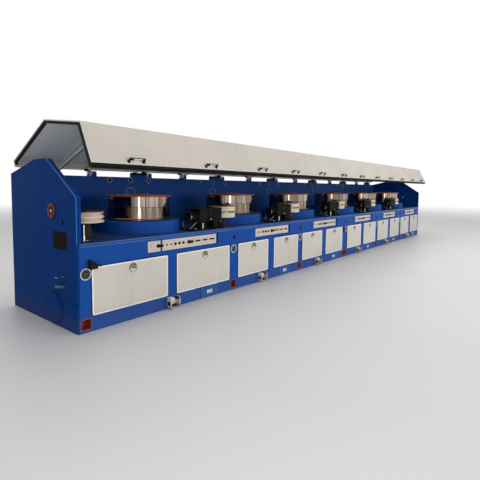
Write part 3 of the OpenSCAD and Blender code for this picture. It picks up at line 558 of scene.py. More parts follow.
@made_once
def oxide_red(name):
    """Oxide red enamel, knocked back to steel in places."""
    shade = Shade(name)
    colour = looks().oxide
    cloud = shade.noise(8, 4, 0.6)
    base = shade.mix(cloud, shaded(colour, 0.75), shaded(colour, 1.25))
    chips = shade.between(shade.noise(60, 4, 0.6), 0.66, 0.70)
    base = shade.mix(chips, base, (0.32, 0.30, 0.28))
    return shade.surface(Base_Color=base, Metallic=chips * 0.8, Roughness=0.36 + cloud * 0.14 - chips * 0.1,
                         Coat_Weight=0.2, Normal=shade.bump(1 - chips, 0.3, 0.0006))


@made_once
def pulley_cream(name):
    """Hard coated pulleys: cream, with a dark red top and grooves rubbed grey by the wire."""
    shade = Shade(name)
    colour = looks().pulley
    pulley = box_of("guide_pulley_1")
    grime = shade.noise(16, 4, 0.65, stretch=(1, 1, 3))
    rings = shade.noise(300, 2, 0.5, stretch=(0.02, 0.02, 1))
    base = shade.mix(shade.between(grime, 0.45, 0.8), shaded(colour, 1.05), shaded(colour, 0.78))
    base = shade.mix(shade.between(rings, 0.5, 0.7) * 0.2, base, shaded(colour, 0.75))
    z = shade.xyz()[2]
    top = shade.between(z, pulley.hi.z - 0.009, pulley.hi.z - 0.007)
    base = shade.mix(top, base, shade.mix(grime, shaded(looks().oxide, 0.35), shaded(looks().oxide, 0.6)))
    return shade.surface(Base_Color=base, Roughness=0.34 + grime * 0.2, Coat_Weight=0.08,
                         Normal=shade.bump(rings, 0.12, 0.0004))


@made_once
def die_box_black(name):
    """Olive-black enamel under a film of drawing soap and oil."""
    shade = Shade(name)
    oil = shade.noise(11, 5, 0.65, warp=0.4)
    grain = shade.noise(160, 3, 0.6)
    base = shade.mix(shade.between(oil, 0.45, 0.75), (0.006, 0.006, 0.006), (0.014, 0.014, 0.012))
    soap = shade.facing_up() * shade.between(shade.noise(30, 4, 0.7), 0.45, 0.7)
    base = shade.mix(soap * 0.5, base, (0.055, 0.052, 0.042))
    return shade.surface(Base_Color=base, Roughness=0.38 + oil * 0.3 + soap * 0.2, Specular_IOR_Level=0.04,
                         Normal=shade.bump(grain, 0.18, 0.0008))


@made_once
def dark_steel(name):
    """Oiled dark steel of stands and brackets."""
    shade = Shade(name)
    oil = shade.noise(14, 4, 0.6)
    base = shade.mix(oil, (0.008, 0.008, 0.009), (0.034, 0.032, 0.031))
    return shade.surface(Base_Color=base, Metallic=0.1, Roughness=0.42 + oil * 0.2, Specular_IOR_Level=0.1,
                         Normal=shade.bump(shade.noise(140, 3), 0.18, 0.0008))


@made_once
def worn_steel(name):
    """Dull grey steel of small brackets, handled and dusty."""
    shade = Shade(name)
    worn = shade.noise(32, 4, 0.65)
    base = shade.mix(worn, (0.075, 0.075, 0.080), (0.24, 0.24, 0.25))
    return shade.surface(Base_Color=base, Metallic=0.45, Roughness=0.42 + worn * 0.15,
                         Normal=shade.bump(shade.noise(180, 3), 0.14, 0.0006))


@made_once
def plated_steel(name):
    """Bright plated fasteners and rims, with dull spots."""
    shade = Shade(name)
    dull = shade.noise(40, 4, 0.65)
    base = shade.mix(shade.between(dull, 0.5, 0.75), (0.74, 0.74, 0.74), (0.42, 0.40, 0.38))
    return shade.surface(Base_Color=base, Metallic=1.0, Roughness=0.24 + dull * 0.18,
                         Normal=shade.bump(shade.noise(260, 2), 0.08, 0.0004))


@made_once
def brass(name):
    shade = Shade(name)
    dull = shade.noise(45, 4, 0.6)
    base = shade.mix(shade.between(dull, 0.4, 0.75), looks().brass, shaded(looks().brass, 0.5))
    return shade.surface(Base_Color=base, Metallic=1.0, Roughness=0.25 + dull * 0.2,
                         Normal=shade.bump(dull, 0.1, 0.0004))


@made_once
def black_plastic(name):
    """Moulded black plastic of knobs and buttons."""
    shade = Shade(name)
    rub = shade.noise(70, 3, 0.6)
    base = shade.mix(shade.between(rub, 0.5, 0.8), (0.005, 0.005, 0.005), (0.016, 0.016, 0.016))
    return shade.surface(Base_Color=base, Roughness=0.34 + rub * 0.15, Specular_IOR_Level=0.08,
                         Normal=shade.bump(shade.noise(500, 2), 0.12, 0.0004))


@made_once
def control_plate(name):
    """Beige control plates: satin, with rubbed marks round the controls."""
    shade = Shade(name)
    colour = looks().plate
    cloud = shade.noise(7, 4, 0.6)
    rub = shade.between(shade.noise(24, 4, 0.6), 0.52, 0.72)
    base = shade.mix(cloud, shaded(colour, 0.92), shaded(colour, 1.06))
    base = shade.mix(rub * 0.3, base, shaded(colour, 0.62))
    return shade.surface(Base_Color=base, Roughness=0.38 + rub * 0.15,
                         Normal=shade.bump(shade.noise(600, 2, stretch=(0.05, 1, 1)), 0.08, 0.0003))


@made_once
def pocket_red(name):
    """Orange-red enamel, scraped, with painted shade darkening it deeper inside the pocket."""
    shade = Shade(name)
    y = shade.xyz()[1]
    colour = looks().pocket
    # Painted shade: darker the deeper inside the pocket
    deep = shade.between(y, BED.lo.y + 0.004, BED.lo.y + 0.07)
    grime = shade.noise(20, 4, 0.65)
    base = shade.mix(grime, shaded(colour, 0.8), shaded(colour, 1.2))
    base = shade.mix(deep * (0.4 + grime * 0.4), base, shaded(colour, 0.4))
    return shade.surface(Base_Color=base, Roughness=0.4 + grime * 0.15,
                         Normal=shade.bump(grime, 0.1, 0.001))


@made_once
def cast_grey(name):
    """Cast foot switch housings in grey-beige, scuffed by boots."""
    shade = Shade(name)
    z = shade.xyz()[2]
    colour = looks().casting
    grime = shade.noise(22, 4, 0.65)
    base = shade.mix(shade.between(grime, 0.4, 0.75), shaded(colour, 1.1), shaded(colour, 0.6))
    scuff = shade.between(shade.noise(55, 3, 0.6, stretch=(0.4, 1, 1)), 0.60, 0.66)
    base = shade.mix(scuff * 0.7, base, (0.42, 0.41, 0.39))
    dirt = shade.between(0.05 - z + grime * 0.03, 0.0, 0.05)
    base = shade.mix(dirt * 0.6, base, (0.10, 0.09, 0.075))
    return shade.surface(Base_Color=base, Metallic=scuff * 0.5, Roughness=0.42 + grime * 0.2,
                         Normal=shade.bump(shade.noise(190, 3), 0.3, 0.0010))


@made_once
def end_fitting(name):
    """Oxide red on the wire eye's ring, black on the lock, bright steel on the lever below them."""
    shade = Shade(name)
    z = shade.xyz()[2]
    lever, ring = shade.between(0.70 - z, 0.0, 0.1), shade.between(z, 1.012, 1.014)
    cloud = shade.noise(14, 4, 0.6)
    red = shade.mix(cloud, shaded(looks().oxide, 0.28), shaded(looks().oxide, 0.6))
    rubbed = shade.between(shade.noise(45, 3), 0.58, 0.64)
    steel = shade.mix(rubbed, (0.030, 0.050, 0.110), (0.62, 0.63, 0.65))
    base = shade.mix(ring, (0.004, 0.007, 0.020), red)
    return shade.surface(Base_Color=shade.mix(lever, base, steel), Metallic=lever * 0.7,
                         Roughness=0.32 + cloud * 0.15, Specular_IOR_Level=0.12,
                         Normal=shade.bump(cloud, 0.1, 0.0006))


@made_once
def wall_fitting(name):
    """Pale plated rings of the ports, and the dull plates of the eyelets above them."""
    shade = Shade(name)
    z = shade.xyz()[2]
    eyelet = shade.between(z, 1.34, 1.36)
    dull = shade.noise(40, 4, 0.65)
    ring = shade.mix(dull, (0.42, 0.43, 0.45), (0.16, 0.17, 0.20))
    plate = shade.mix(dull, (0.075, 0.095, 0.16), (0.030, 0.050, 0.12))
    return shade.surface(Base_Color=shade.mix(eyelet, ring, plate), Metallic=0.7 - eyelet * 0.6,
                         Roughness=0.34 + dull * 0.2, Normal=shade.bump(dull, 0.1, 0.0005))


def glossy_face(name, colour, rough=0.2, coat=0.3, gloss=0.25):
    """A lens or a face under clear cover, a little cloudy."""
    shade = Shade(name)
    cloud = shade.noise(60, 3, 0.5)
    base = shade.mix(cloud, shaded(colour, 0.75), shaded(colour, 1.2))
    return shade.surface(Base_Color=base, Roughness=rough + cloud * 0.1, Coat_Weight=coat,
                         Specular_IOR_Level=gloss, Normal=shade.bump(cloud, 0.05, 0.0004))


@made_once
def green_lens(name):
    return glossy_face(name, looks().green_lamp)


@made_once
def red_lens(name):
    return glossy_face(name, looks().red_lamp)


@made_once
def gauge_face(name):
    return glossy_face(name, looks().gauge)


@made_once
def gauge_marks(name):
    return glossy_face(name, (0.16, 0.155, 0.12), rough=0.5, coat=0.0)


@made_once
def seam_dark(name):
    """The dark of a joint between two sheets, also used as painted shade in gaps and holes."""
    return glossy_face(name, (0.005, 0.009, 0.022), rough=0.6, coat=0.0, gloss=0.04)


@made_once
def label_white(name):
    return glossy_face(name, (0.66, 0.68, 0.70), rough=0.35, coat=0.2)


@made_once
def label_grey(name):
    return glossy_face(name, (0.33, 0.35, 0.38), rough=0.4, coat=0.0)


@made_once
def panel_brown(name):
    """The service panel's brown-black sheet."""
    return glossy_face(name, (0.008, 0.007, 0.008), rough=0.5, coat=0.0, gloss=0.02)


@made_once
def pull_brown(name):
    shade = Shade(name)
    grime = shade.noise(130, 3, 0.6)
    base = shade.mix(shade.between(grime, 0.38, 0.62), shaded(looks().pull, 0.35), shaded(looks().pull, 1.2))
    return shade.surface(Base_Color=base, Roughness=0.45 + grime * 0.1, Specular_IOR_Level=0.15,
                         Normal=shade.bump(grime, 0.2, 0.0006))


@made_once
def pull_rim(name):
    """Dull dark brown of a door pull's bar, and the painted shadow along the inside of its ring."""
    return glossy_face(name, shaded(looks().pull, 0.42), rough=0.5, coat=0.0, gloss=0.1)


@made_once
def rubbed_corner(name):
    """A painted highlight: pale blue along the outer corner of an end panel's fold."""
    return glossy_face(name, (0.060, 0.175, 0.460), rough=0.4, coat=0.0, gloss=0.15)


@made_once
def slot_grey(name):
    """Blue-grey painted shade, standing in for the depth of the slot along a hood arm."""
    return glossy_face(name, (0.085, 0.10, 0.135), rough=0.6, coat=0.0, gloss=0.1)


@made_once
def tread_rubber(name):
    return glossy_face(name, (0.016, 0.018, 0.026), rough=0.6, coat=0.0, gloss=0.1)


@made_once
def ceramic(name):
    return glossy_face(name, (0.60, 0.58, 0.55), rough=0.2, coat=0.2)


def paint_nodes(finish, *nodes):
    """Gives CAD nodes their finish."""
    for node in nodes:
        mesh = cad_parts[node].data
        mesh.materials.clear()
        mesh.materials.append(finish)


# What a user would change

def colour_property(name, description, default):
    return FloatVectorProperty(name=name, description=description, default=default, size=3, min=0, max=1,
                               subtype="COLOR")


def length_property(name, description, default):
    return FloatProperty(name=name, description=description, default=default, min=0, unit="LENGTH",
                         subtype="DISTANCE")


class MachineLooks(bpy.types.PropertyGroup):
    """Colours of the machine's finishes."""
    blue: colour_property("Machine blue", "Enamel of the bed", (0.009, 0.066, 0.300))
    # Painted shade: darker than the bed's blue
    end_blue: colour_property("Shaded end panel blue", "Enamel of the end panels", (0.003, 0.040, 0.200))
    # Colour of the painted highlights on the table's lip
    rubbed_blue: colour_property("Rubbed blue", "Painted highlights on the table lip's edges", (0.10, 0.18, 0.42))
    wall_blue: colour_property("Wall blue", "Enamel of the back wall", (0.012, 0.064, 0.270))
    plinth_blue: colour_property("Plinth blue", "Enamel of the plinth's covers", (0.012, 0.092, 0.330))
    cream: colour_property("Door cream", "Powder coat of the doors", (0.58, 0.55, 0.49))
    # Colour of the painted highlight along rolled edges
    edge: colour_property("Edge highlight", "Painted highlight on the rolled edges of doors and hoods", (0.84, 0.85, 0.86))
    hood: colour_property("Hood", "Enamel outside the hoods", (0.58, 0.535, 0.475))
    # Set lighter than the real primer: painted light under the hoods
    lining: colour_property("Hood lining", "Primer inside the hoods", (0.72, 0.75, 0.79))
    drum: colour_property("Drum steel", "Colour of the polished drums", (0.33, 0.26, 0.20))
    # Colour of the painted highlight streaks on the drums
    drum_pale: colour_property("Drum highlight", "Painted highlight streaks on the drums", (0.66, 0.59, 0.52))
    drum_soap: colour_property("Drum soap", "Burnt soap at the drum's foot", (0.27, 0.18, 0.13))
    oxide: colour_property("Oxide red", "Enamel of the drum flanges", (0.25, 0.050, 0.026))
    pulley: colour_property("Pulley cream", "Coating of the guide pulleys", (0.62, 0.54, 0.41))
    plate: colour_property("Control plate", "Satin coat of the control plates", (0.56, 0.50, 0.42))
    pocket: colour_property("Pocket red", "Enamel of the jacking pockets", (0.32, 0.050, 0.030))
    casting: colour_property("Casting", "Paint of the foot switches", (0.60, 0.56, 0.53))
    soap_dust: colour_property("Soap dust", "Film on the table", (0.042, 0.068, 0.185))
    brass: colour_property("Copper", "Rings of the die holders", (0.60, 0.34, 0.18))
    green_lamp: colour_property("Green lamp", "Lens of the running lamp", (0.07, 0.10, 0.05))
    red_lamp: colour_property("Red lamp", "Lens of the fault lamp", (0.20, 0.06, 0.035))
    gauge: colour_property("Gauge face", "Face of the post dials", (0.022, 0.022, 0.018))
    pull: colour_property("Door pull", "Hollows of the door pulls", (0.27, 0.215, 0.16))


class MachineTrim(bpy.types.PropertyGroup):
    """Sizes of the small parts."""
    bolt: length_property("Bolt", "Width of a frame bolt across its corners", 0.022)
    screw: length_property("Screw", "Head width of a small screw", 0.012)
    seam: length_property("Seam", "Width of a joint between two sheets", 0.003)
    door_edge: length_property("Door edge", "Width of a door's rolled edge", 0.012)
    door_seal: length_property("Door seal", "Width of the dark band of painted shadow round a door", 0.008)
    hood_edge: length_property("Hood edge", "Depth of the rolled edge at a hood's ends", 0.011)
    hood_edge_out: length_property("Hood edge out", "How far that edge stands into the joint", 0.002)
    cover_width: length_property("Plinth cover", "Width of a plinth cover", 0.296)
    cover_back: length_property("Plinth cover back", "Plinth cover before the hood's right end", 0.400)
    label_width: length_property("Label width", "Width of a bare label", 0.088)
    label_height: length_property("Label height", "Height of a bare label", 0.040)
    lining_in: length_property("Lining", "Depth of the lining below the hood's sheet", 0.012)
    rib_pitch: length_property("Rib pitch", "Distance between the hood's ribs", 0.480)
    wall_bolt_pitch: length_property("Wall bolt pitch", "Distance between the back wall's bolts", 0.410)


class MachineStudio(bpy.types.PropertyGroup):
    """Camera and light."""
    eye: FloatVectorProperty(name="Eye", description="Place of the camera", size=3, unit="LENGTH",
                             subtype="TRANSLATION", default=(-6.945, -3.9468, 1.3177))
    yaw: FloatProperty(name="Yaw", description="Turn of the camera from the depth towards the outlet",
                       subtype="ANGLE", default=math.radians(50.57))
    pitch: FloatProperty(name="Pitch", description="How far the camera looks down", subtype="ANGLE",
                         default=math.radians(4.015))
    roll: FloatProperty(name="Roll", description="Roll of the camera", subtype="ANGLE",
                        default=math.radians(0.517))
    lens: FloatProperty(name="Lens", description="Focal length on a 36 mm sensor", default=29.42,
                        unit="CAMERA")
    shift: FloatProperty(name="Shift", description="Upward shift of the frame", default=-0.0510)
    sky: FloatProperty(name="Sky", description="Strength of the light from all round", default=0.42, min=0)
    key: FloatProperty(name="Key", description="Power of the large front light in watts", default=500, min=0)
    fill: FloatProperty(name="Fill", description="Power of the overhead light in watts", default=270, min=0)
    strip: FloatProperty(name="Window", description="Power of the upright window light in watts",
                         default=34, min=0)


class MachineStep:
    """What every step of the dressing has in common."""
    bl_options = {"REGISTER", "UNDO"}


# The bed

class MACHINE_OT_bed(MachineStep, bpy.types.Operator):
    """Paints the bed, the table and the walls, and adds seams, plinth covers, bare labels and bolts"""
    bl_idname = "machine.bed"
    bl_label = "Bed and walls"

    def execute(self, context):
        paint_nodes(blue_enamel(), "bed_first_section", "bed_second_section", "drum_housings",
                    "hinge_brackets")
        paint_nodes(end_enamel(), "end_panel_inlet", "end_panel_outlet", "end_covers")
        paint_nodes(table_enamel(), "table_first_section", "table_second_section")
        paint_nodes(wall_enamel(), "back_wall_first_section", "back_wall_second_section")
        trim = context.scene.machine_trim
        self.plinth(trim)
        self.joints(trim)
        self.slots()
        self.rear(trim)
        return {"FINISHED"}

    def plinth(self, trim):
        """A cover in each bay's plinth, with a seam at its left end and a bare label"""
        covers, seams, labels, greys = Forge(), Forge(), Forge(), Forge()
        height, middle = 0.139, 0.0715
        for n in BLOCKS:
            at = Vector((box_of("hood_%d" % n).hi.x - trim.cover_back, BED.lo.y, middle))
            covers.plate(facing(FRONT, at), trim.cover_width, height, 0.0025, 0.004)
            seams.plate(facing(FRONT, at - Vector((trim.cover_width / 2 + 0.003, 0, 0))), 0.007, height,
                        0.0012, 0.0006, 0.0002)
            label = at + Vector((0, -0.0025, -0.003))
            labels.plate(facing(FRONT, label), trim.label_width, trim.label_height, 0.0012, 0.003, 0.0004)
            greys.plate(facing(FRONT, label + Vector((0.004, -0.0012, 0))), trim.label_width * 0.55,
                        trim.label_height * 0.4, 0.0006, 0.001, 0.0002)
        covers.piece("plinth_covers", plinth_enamel(), "blue_paint")
        seams.piece("plinth_seams", seam_dark(), "black_paint")
        labels.piece("plinth_labels", label_white(), "cream_paint")
        greys.piece("plinth_label_fields", label_grey(), "dark_steel")

    def joints(self, trim):
        """The joint between the two bed sections, and its bolts on the table and the wall"""
        seams, bolts = Forge(), Forge()
        x = box_of("bed_second_section").lo.x
        wall = box_of("back_wall_second_section")
        wall_height = wall.hi.z - TABLE.hi.z
        # Each seam: the side it shows on, its depth and height, its length and how far it stands out
        for side, y, z, length, thick in (
                (FRONT, BED.lo.y, TABLE.lo.z / 2, TABLE.lo.z - 0.002, 0.0012),
                (FRONT, TABLE.lo.y, TABLE.at(0, 0, 0.5).z, 0.028, 0.0006),
                (FRONT, wall.lo.y, TABLE.hi.z + wall_height / 2, wall_height - 0.002, 0.0012),
                (REAR, BED.hi.y, wall.hi.z / 2, wall.hi.z - 0.004, 0.0012)):
            seams.plate(facing(side, Vector((x, y, z))), trim.seam, length, thick, 0.0004, 0.0002)
        for side in (-1, 1):
            for share in (0.16, 0.38, 0.6, 0.82):
                z = TABLE.hi.z + share * wall_height
                bolts.bolt(Vector((x + side * 0.035, wall.lo.y, z)), FRONT, trim.bolt, 13 * side)
        # The row of bolts along the wall's foot
        margin, above_table = 0.15, 0.028
        row = LINE.hi.x - LINE.lo.x - 2 * margin
        count = int(row / trim.wall_bolt_pitch)
        for k in range(count + 1):
            spot = Vector((LINE.lo.x + margin + k * row / count, wall.lo.y, TABLE.hi.z + above_table))
            bolts.bolt(spot, FRONT, trim.bolt * 0.8, 17 * k)
        seams.piece("section_seams", seam_dark(), "black_paint")
        bolts.piece("wall_bolts", wall_enamel(), "blue_paint")

    def slots(self):
        """An oval slot above each post dial but the first, its hole shown by a dark plate of painted shade,
        with its rim
        """
        hole_shades, rims = Forge(), Forge()
        above, aside = 0.148, 0.012
        for dial in solids_of("post_dials")[1:]:
            middle = dial.at(0.5, 0, 0.5)
            place = facing(FRONT, Vector((middle.x + aside, BED.lo.y, middle.z + above)))
            hole_shades.plate(place, 0.044, 0.048, 0.0012, 0.021, 0.0004)
            rims.edging(place, 0.050, 0.054, 0.024, 0.003, 0.003)
        hole_shades.piece("post_hole_shades", seam_dark(), "black_paint")
        rims.piece("post_plug_rims", blue_enamel(), "blue_paint")

    def rear(self, trim):
        """Screws and grips of the covers at the back"""
        screws, grips = Forge(), Forge()
        for n in BLOCKS:
            middle = box_of("drum_%d" % n).at(0.5, 0.5, 0.5).x
            for share in (-0.5, -0.25, 0, 0.25, 0.5):
                for z in (0.165, 0.545):
                    screws.cap_screw(Vector((middle + share * 1.06, BED.hi.y, z)), REAR, trim.screw)
            for aside in (-0.3, 0.3):
                foot = Vector((middle + aside, BED.hi.y, 0.42))
                grips.bar([foot + Vector((x, y, 0)) for x, y in (
                    (-0.06, 0), (-0.06, 0.022), (-0.05, 0.032),
                    (0.05, 0.032), (0.06, 0.022), (0.06, 0))], 0.006)
        screws.piece("rear_cover_screws", plated_steel(), "bright_steel")
        grips.piece("rear_cover_grips", black_plastic(), "black_plastic")


class MACHINE_OT_doors(MachineStep, bpy.types.Operator):
    """Paints the door panels; adds their rolled edges painted pale as a highlight, dark bands of painted
    shadow in the gaps round them and a ring pull on each
    """
    bl_idname = "machine.doors"
    bl_label = "Doors"

    def execute(self, context):
        paint_nodes(door_enamel(), "doors_first_section", "doors_second_section")
        paint_nodes(seal_rubber(), "door_catch")
        trim = context.scene.machine_trim
        edges, gap_shadows = Forge(), Forge()
        for door in solids_of("doors_first_section", "doors_second_section"):
            middle, size = door.at(0.5, 0, 0.5), door.hi - door.lo
            # Each door's rolled edge, painted pale as a highlight
            edges.edging(facing(FRONT, middle), size.x, size.z, 0.014, trim.door_edge, 0.0015)
            # A dark band of painted shadow in the gap round each door
            on_face = facing(FRONT, Vector((middle.x, BED.lo.y, middle.z)))
            gap_shadows.edging(on_face, size.x + 2 * trim.door_seal, size.z + 2 * trim.door_seal, 0.020,
                         trim.door_seal - 0.0005, 0.0012)
        edges.piece("door_edges", door_edge(), "cream_paint")
        gap_shadows.piece("door_seals", seam_dark(), "seal_rubber")
        self.pulls()
        return {"FINISHED"}

    def pulls(self):
        """A thin ring let into the door, with a grip bar across, brown above it and cream below, and a
        painted shadow arc inside the ring's top and left
        """
        rings, bars_and_shadows, recesses, dishes = Forge(), Forge(), Forge(), Forge()
        for pull in solids_of("door_pulls"):
            radius = (pull.hi.x - pull.lo.x) / 2
            inner = radius - 0.0045
            place = facing(FRONT, pull.at(0.5, 1, 0.5))
            rings.turned(place, [(inner, -LET_IN), (radius, -LET_IN), (radius, 0.002),
                                 (radius - 0.002, 0.0042), (inner + 0.0012, 0.0042), (inner, 0.002)],
                         44, closed=True)
            bars_and_shadows.loft(place, [[(x + inner * 0.22, y, z) for x, y in rounded(inner * 1.5, w, w / 2)]
                              for w, z in ((0.013, -LET_IN), (0.013, 0.0030), (0.008, 0.0046))])
            dishes.turned(place, [(0, -LET_IN), (inner, -LET_IN), (inner, 0.0016), (inner * 0.7, 0.0008),
                                  (0, 0.0004)], 36)
            arch = self.arch(inner, 14, 166)
            recesses.loft(place, [at_height(arch, z) for z in (0.0, 0.0020)])
            # Painted shadow: a dark arc inside the ring's top and left
            rim = self.arch(inner, 38, 212) + self.arch(inner - 0.0065, 38, 212)[::-1]
            bars_and_shadows.loft(place, [at_height(rim, z) for z in (0.0, 0.0030)])
        rings.piece("door_ring_pulls", pull_brown(), "bright_steel", replaces=["door_pulls"])
        bars_and_shadows.piece("door_pull_bars_and_shadows", pull_rim(), "black_plastic")
        recesses.piece("door_pull_recesses", pull_brown(), "dark_steel")
        dishes.piece("door_pull_dishes", door_enamel(), "cream_paint")

    def arch(self, radius, start, end, steps=14):
        """Points along an arc between two angles in degrees"""
        turns = [math.radians(start + (end - start) * k / steps) for k in range(steps + 1)]
        return [(radius * math.cos(a), radius * math.sin(a)) for a in turns]


class MACHINE_OT_controls(MachineStep, bpy.types.Operator):
    """Puts lamps, buttons, rotary switches and rocker keys on the control plates"""
    bl_idname = "machine.controls"
    bl_label = "Controls"

    def execute(self, context):
        paint_nodes(control_plate(), "control_plates")
        every = solids_of("controls")
        caps, rims, green, red = Forge(), Forge(), Forge(), Forge()
        for plate in solids_of("control_plates"):
            row = [c for c in every if plate.lo.x < c.at(0.5, 0, 0).x < plate.hi.x]
            if len(row) == 1:
                self.rotary(caps, row[0])
                rims.edging(facing(FRONT, plate.at(0.33, 0, 0.62)), 0.052, 0.052, 0.026, 0.0035, 0.0012)
                continue
            # Green lamp, red lamp, three buttons, a rotary switch and three keys
            for kind, control in zip("grbbbskkk", row):
                place = facing(FRONT, control.at(0.5, 1, 0.5))
                radius = (control.hi.x - control.lo.x) / 2
                if kind in "gr":
                    self.lamp(rims, green if kind == "g" else red, place, radius * 0.8)
                elif kind == "b":
                    self.button(caps, place, radius)
                elif kind == "s":
                    self.rotary(caps, control)
                else:
                    self.key(caps, rims, place)
            faint = row[5].at(0.5, 1, 0.5) + Vector((0.078, 0, 0.012))
            rims.edging(facing(FRONT, faint), 0.040, 0.040, 0.020, 0.003, 0.0012)
        caps.piece("buttons_and_rotaries", black_plastic(), "black_plastic", replaces=["controls"])
        rims.piece("control_rims", worn_steel(), "bright_steel")
        green.piece("green_lamps", green_lens(), "black_plastic")
        red.piece("red_lamps", red_lens(), "black_plastic")
        return {"FINISHED"}

    def lamp(self, rims, lenses, place, radius):
        """A domed lens in its rim"""
        lens = radius * 0.82
        rims.turned(place, [(lens, -LET_IN), (radius, -LET_IN), (radius, 0.002), (radius * 0.9, 0.003),
                            (lens, 0.0025)], 24, closed=True)
        lenses.turned(place, [(0, -LET_IN), (lens, -LET_IN), (lens, 0.003), (radius * 0.68, 0.006),
                              (radius * 0.4, 0.008), (0, 0.009)], 24)

    def button(self, caps, place, radius):
        """A push button with its collar and a dished cap"""
        caps.turned(place, [(0, -LET_IN), (radius, -LET_IN), (radius, 0.004), (radius * 0.9, 0.006),
                            (radius * 0.84, 0.006), (radius * 0.84, 0.0105), (radius * 0.72, 0.0132),
                            (radius * 0.5, 0.0124), (0, 0.0116)], 24)

    def key(self, caps, rims, place):
        """A rocker key in its frame, pressed at one end"""
        place = place @ Matrix.Translation((0.010, 0, 0))
        rims.edging(place, 0.082, 0.023, 0.004, 0.002, 0.002)
        caps.loft(place, [at_height(rounded(0.078, 0.015, 0.003), z) for z in (-LET_IN, 0.003)])
        # The rocker: half its length, half its width, then its height at the low and at the high end
        caps.loft(place, [[(-x, -y, low), (x, -y, high), (x, y, high), (-x, y, low)]
                          for x, y, low, high in ((0.036, 0.007, 0.002, 0.002),
                                                  (0.035, 0.006, 0.004, 0.009))])

    def rotary(self, caps, control):
        """A round cap with a lever that points along the line"""
        radius = (control.hi.x - control.lo.x) / 2
        place = facing(FRONT, control.at(0.5, 1, 0.5))
        caps.turned(place, [(0, -LET_IN), (radius * 0.76, -LET_IN), (radius * 0.76, 0.008),
                            (radius * 0.66, 0.016), (radius * 0.5, 0.019), (0, 0.019)], 32)
        lever = place @ Matrix.Translation((0.021, 0, 0))
        caps.loft(lever, [at_height(rounded(0.072, w, w / 2), z)
                          for w, z in ((0.030, 0.004), (0.028, 0.020), (0.020, 0.0255))])


class MACHINE_OT_post_dials(MachineStep, bpy.types.Operator):
    """Puts a face, graduations and a pointer in each post dial"""
    bl_idname = "machine.post_dials"
    bl_label = "Post dials"

    def execute(self, context):
        paint_nodes(plated_steel(), "post_dials")
        faces, marks = Forge(), Forge()
        floor_in, face_r, marks_r, mark_count = 0.006, 0.0447, 0.035, 11
        for dial in solids_of("post_dials"):
            at = Vector((dial.at(0.5, 0, 0).x, BED.lo.y + floor_in, dial.at(0, 0, 0.5).z))
            place = facing(FRONT, at)
            faces.turned(place, [(0, -LET_IN), (face_r, -LET_IN), (face_r, 0.002), (face_r - 0.004, 0.0012),
                                 (0, 0.0012)], 40)
            for k in range(mark_count):
                turn = 225 - 27 * k
                spoke = facing(FRONT, at, turn) @ Matrix.Translation((marks_r, 0, 0.0012))
                marks.plate(spoke, 0.006, 0.0015, 0.0005, 0.0004, 0.0001)
            pointer = facing(FRONT, at, 148) @ Matrix.Translation((0.010, 0, 0))
            marks.loft(pointer, [at_height(rounded(0.040, 0.0022, 0.001), z) for z in (0.002, 0.0034)])
            marks.turned(place, [(0, 0), (0.006, 0), (0.006, 0.004), (0.004, 0.0052), (0, 0.0052)], 18)
        faces.piece("dial_faces", gauge_face(), "black_plastic")
        marks.piece("dial_marks", gauge_marks(), "bright_steel")
        return {"FINISHED"}


class MACHINE_OT_floor_fittings(MachineStep, bpy.types.Operator):
    """Finishes the jacking pockets and the foot switches on the floor"""
    bl_idname = "machine.floor_fittings"
    bl_label = "Floor fittings"

    def execute(self, context):
        paint_nodes(pocket_red(), "jacking_pockets")
        paint_nodes(cast_grey(), "foot_switches")
        treads, screws, skirts, panels = (Forge() for _ in range(4))
        # The tread plate falls 12 mm over 44 mm towards the toe
        first_row, row_pitch, fall = 0.014, 0.010, 12 / 44
        for switch in solids_of("foot_switches"):
            foot = switch.at(0.5, 1, 0)
            width = switch.hi.x - switch.lo.x
            for k in range(4):
                back = first_row + k * row_pitch
                spot = foot + Vector((0, -back, 0.039 - (back - 0.010) * fall))
                treads.loft(facing(UP, spot), [at_height(rounded(0.106, w, w / 2), z) for w, z in (
                    (0.006, -0.002), (0.005, 0.003), (0.003, 0.0045))])
            for across, side in ((0, INLET), (1, OUTLET)):
                screws.cap_screw(foot + Vector((side.x * 0.052, -0.022, switch.hi.z)), UP, 0.009)
                face = switch.at(across, 0.5, 0.5)
                screws.cap_screw(Vector((face.x, foot.y - 0.030, 0.10)), side, 0.010)
                panels.plate(facing(side, face), 0.050, 0.040, 0.0014, 0.012, 0.0005)
            skirts.plate(facing(FRONT, Vector((foot.x, switch.lo.y, 0.007))), width * 0.96, 0.012, 0.0008,
                         0.002, 0.0004)
            # Painted shade over the guard's opening
            panels.loft(facing(FRONT, foot), self.window(width, switch.hi.y - switch.lo.y, switch.hi.z))
        panels.piece("foot_switch_sides_and_opening_shades", tread_rubber(), "switch_housing")
        skirts.piece("foot_switch_skirts", label_grey(), "switch_housing")
        treads.piece("foot_switch_treads", tread_rubber(), "seal_rubber")
        screws.piece("foot_switch_screws", plated_steel(), "bright_steel")
        return {"FINISHED"}

    def window(self, width, depth, height):
        """Sections of a dark sheet of painted shade for the opening in a foot switch's guard, which follows
        its rounded nose
        """
        nose, mouth, on_top, lift, drop = 0.030, 0.102, 0.030, 0.0009, -0.0015
        # Each place: distance from the wall, height and the slope of the guard in degrees
        path = [(depth, mouth, 0)]
        for slope in range(0, 91, 15):
            a = math.radians(slope)
            path.append((depth - nose + nose * math.cos(a), height - nose + nose * math.sin(a), slope))
        path.append((depth - nose - on_top, height, 90))
        sections = []
        for d, h, slope in path:
            a = math.radians(slope)
            sections.append([(x, h + out * math.sin(a), d + out * math.cos(a)) for x, out in (
                (-0.008, lift), (width / 2 - 0.010, lift), (width / 2 - 0.010, drop), (-0.008, drop))])
        return sections


